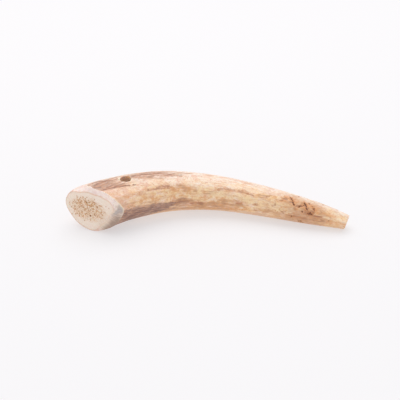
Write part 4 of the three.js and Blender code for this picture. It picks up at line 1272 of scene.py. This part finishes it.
# the face a duller beige towards its lower edge
colour = m.mix(colour, linear(236, 214, 196), m.times(darker_below_s, 0.7))
colour = m.mix(colour, linear(226, 178, 136), m.times(m.attribute_value("face_rim"), 0.6))
colour = m.mix(colour, linear(224, 200, 182), m.times(m.step(saws, 0.5, 1.0), m.math("MAXIMUM", m.times(darker_below_s, 0.35), 0.1)), "MULTIPLY")
m.feed(m.shader.inputs["Base Color"], colour)
m.feed(m.shader.inputs["Roughness"], m.step(cloud, 0.0, 1.0, 0.66, 0.84))
height = m.add(m.times(lace_fine, m.times(core_s, 0.8)), m.add(m.times(saws, 0.35), m.times(tiny, m.times(core_s, 0.8))))
m.feed(m.shader.inputs["Normal"], m.bump(height, 0.0001, 0.7))
m.shader.inputs["Subsurface Weight"].default_value = 0.1
m.shader.inputs["Subsurface Radius"].default_value = (1.0, 0.6, 0.4)
m.shader.inputs["Subsurface Scale"].default_value = 0.001
sawn_core = m.material

# ---- the drilled wall ---------------------------------------------------------------------------
m = Nodes("drilled_wall", 0.7)
wcore_s, wpit_s, wmouth_s = m.split(m.attribute("wall"))
tex = m.tree.nodes.new("ShaderNodeTexCoord")
wv = m.scaled(tex.outputs["Object"], (1000, 1000, 1000))
wn = m.noise(m.scaled(wv, (0.9, 0.9, 0.9)), 1, 3, 0.6)
rings = m.noise(m.scaled(wv, (0.1, 0.1, 2.4)), 1, 2, 0.5)
colour = linear(222, 184, 160)
colour = m.mix(colour, linear(240, 212, 186), m.times(wcore_s, m.step(wn, 0.3, 0.6, 0.6, 1.0)))
# painted light: orange glow where light shines through the thin wall
colour = m.mix(colour, linear(254, 200, 144), m.attribute_value("painted_glow"))
colour = m.mix(colour, linear(186, 150, 118), m.times(wpit_s, m.times(wcore_s, 0.8)))
colour = m.mix(colour, linear(254, 240, 216), m.times(m.attribute_value("chipped"), 0.95))
colour = m.mix(colour, linear(214, 200, 186), m.step(rings, 0.4, 0.7, 0.0, 0.5), "MULTIPLY")
m.feed(m.shader.inputs["Base Color"], colour)
m.feed(m.shader.inputs["Roughness"], m.step(wn, 0.3, 0.7, 0.6, 0.85))
m.feed(m.shader.inputs["Normal"], m.bump(m.add(wn, m.times(rings, 0.5)), 0.00015, 0.7))
m.shader.inputs["Subsurface Weight"].default_value = 0.15
m.shader.inputs["Subsurface Radius"].default_value = (1.0, 0.45, 0.2)
m.shader.inputs["Subsurface Scale"].default_value = 0.0015
drilled_wall = m.material

# ---- the tip's end ------------------------------------------------------------------------------
m = Nodes("tip_end", 0.5)
tip_v = m.attribute("tip_at")
ta, tb, tcore = m.split(tip_v)
tv = m.scaled(tip_v, (1, 1, 0))
tn = m.noise(tv, 1.3, 4, 0.6)
lines = m.noise(m.scaled(tip_v, (0.25, 3.2, 0)), 1, 2, 0.5)
radius = m.math("SQRT", m.add(m.times(ta, ta), m.times(tb, tb)))
ring = m.noise(m.scaled(tip_v, (0.3, 0.3, 0)), 1, 2, 0.5)
colour = m.mix(linear(248, 224, 204), linear(238, 202, 172), m.step(tn, 0.35, 0.65))
colour = m.mix(colour, linear(224, 178, 140), m.times(tcore, m.step(m.cells(tv, 2.6), 0.1, 0.6, 0.9, 0.3)))
colour = m.mix(colour, linear(234, 186, 146), m.times(m.step(radius, 2.6, 3.4), 0.5))
colour = m.mix(colour, linear(226, 214, 200), m.step(lines, 0.42, 0.7, 0.0, 0.4), "MULTIPLY")
m.feed(m.shader.inputs["Base Color"], colour)
m.feed(m.shader.inputs["Roughness"], m.step(tn, 0.3, 0.7, 0.42, 0.58))
m.feed(m.shader.inputs["Normal"], m.bump(m.add(tn, m.times(lines, 0.6)), 0.0001, 0.6))
m.shader.inputs["Subsurface Weight"].default_value = 0.15
m.shader.inputs["Subsurface Radius"].default_value = (1.0, 0.6, 0.4)
m.shader.inputs["Subsurface Scale"].default_value = 0.0012
tip_end = m.material

for material in (antler_skin, sawn_core, drilled_wall, tip_end):
    mesh.materials.append(material)

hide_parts("antler")
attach(antler, "root")

# =================================================================================================
# Floor, light and camera
# =================================================================================================
floor_mesh = bpy.data.meshes.new("floor")
s = 3.0
floor_mesh.from_pydata([(-s, -s, 0), (s, -s, 0), (s, s, 0), (-s, s, 0)], [], [(0, 1, 2, 3)])
floor = bpy.data.objects.new("floor", floor_mesh)
floor.location = (0, 0, -0.00002)
bpy.context.scene.collection.objects.link(floor)
m = Nodes("floor_white", 0.9)  # a white table lit from within, as for a product picture
m.shader.inputs["Base Color"].default_value = (0.42, 0.41, 0.42, 1)
m.shader.inputs["Specular IOR Level"].default_value = 0.0
m.shader.inputs["Emission Color"].default_value = (0.975, 0.98, 1.0, 1)
m.shader.inputs["Emission Strength"].default_value = 0.512
floor_mesh.materials.append(m.material)

world = bpy.data.worlds.new("soft_studio")
bpy.context.scene.world = world
world.use_nodes = True
background = world.node_tree.nodes["Background"]
background.inputs[0].default_value = (1.0, 0.99, 0.985, 1)
background.inputs[1].default_value = 0.72


def softbox(name, at, to, size, power, colour=(1, 1, 1)):
    light = bpy.data.lights.new(name, "AREA")
    light.shape = "RECTANGLE"
    light.size, light.size_y = size
    light.energy = power
    light.color = colour
    o = bpy.data.objects.new(name, light)
    o.location = at
    o.rotation_euler = (Vector(to) - Vector(at)).to_track_quat("-Z", "Y").to_euler()
    bpy.context.scene.collection.objects.link(o)
    return o


softbox("softbox_above", (-0.05, 0.35, 1.0), (0, 0, 0), (1.3, 1.1), 6.5, (1.0, 0.985, 0.97))

scene = bpy.context.scene
scene.view_settings.view_transform = "Standard"
scene.view_settings.look = "None"
scene.view_settings.exposure = 0.0
scene.view_settings.gamma = 1.0

camera = bpy.data.cameras.new("camera")
camera.lens = 85
camera.sensor_width = 36
camera.clip_start, camera.clip_end = 0.01, 20
eye = bpy.data.objects.new("camera", camera)
eye.location = (-0.004107, -0.446948, 0.269055)
eye.rotation_euler = (Vector((-0.004107, -0.000945, 0.011555)) - eye.location).to_track_quat("-Z", "Y").to_euler()
scene.collection.objects.link(eye)
scene.camera = eye
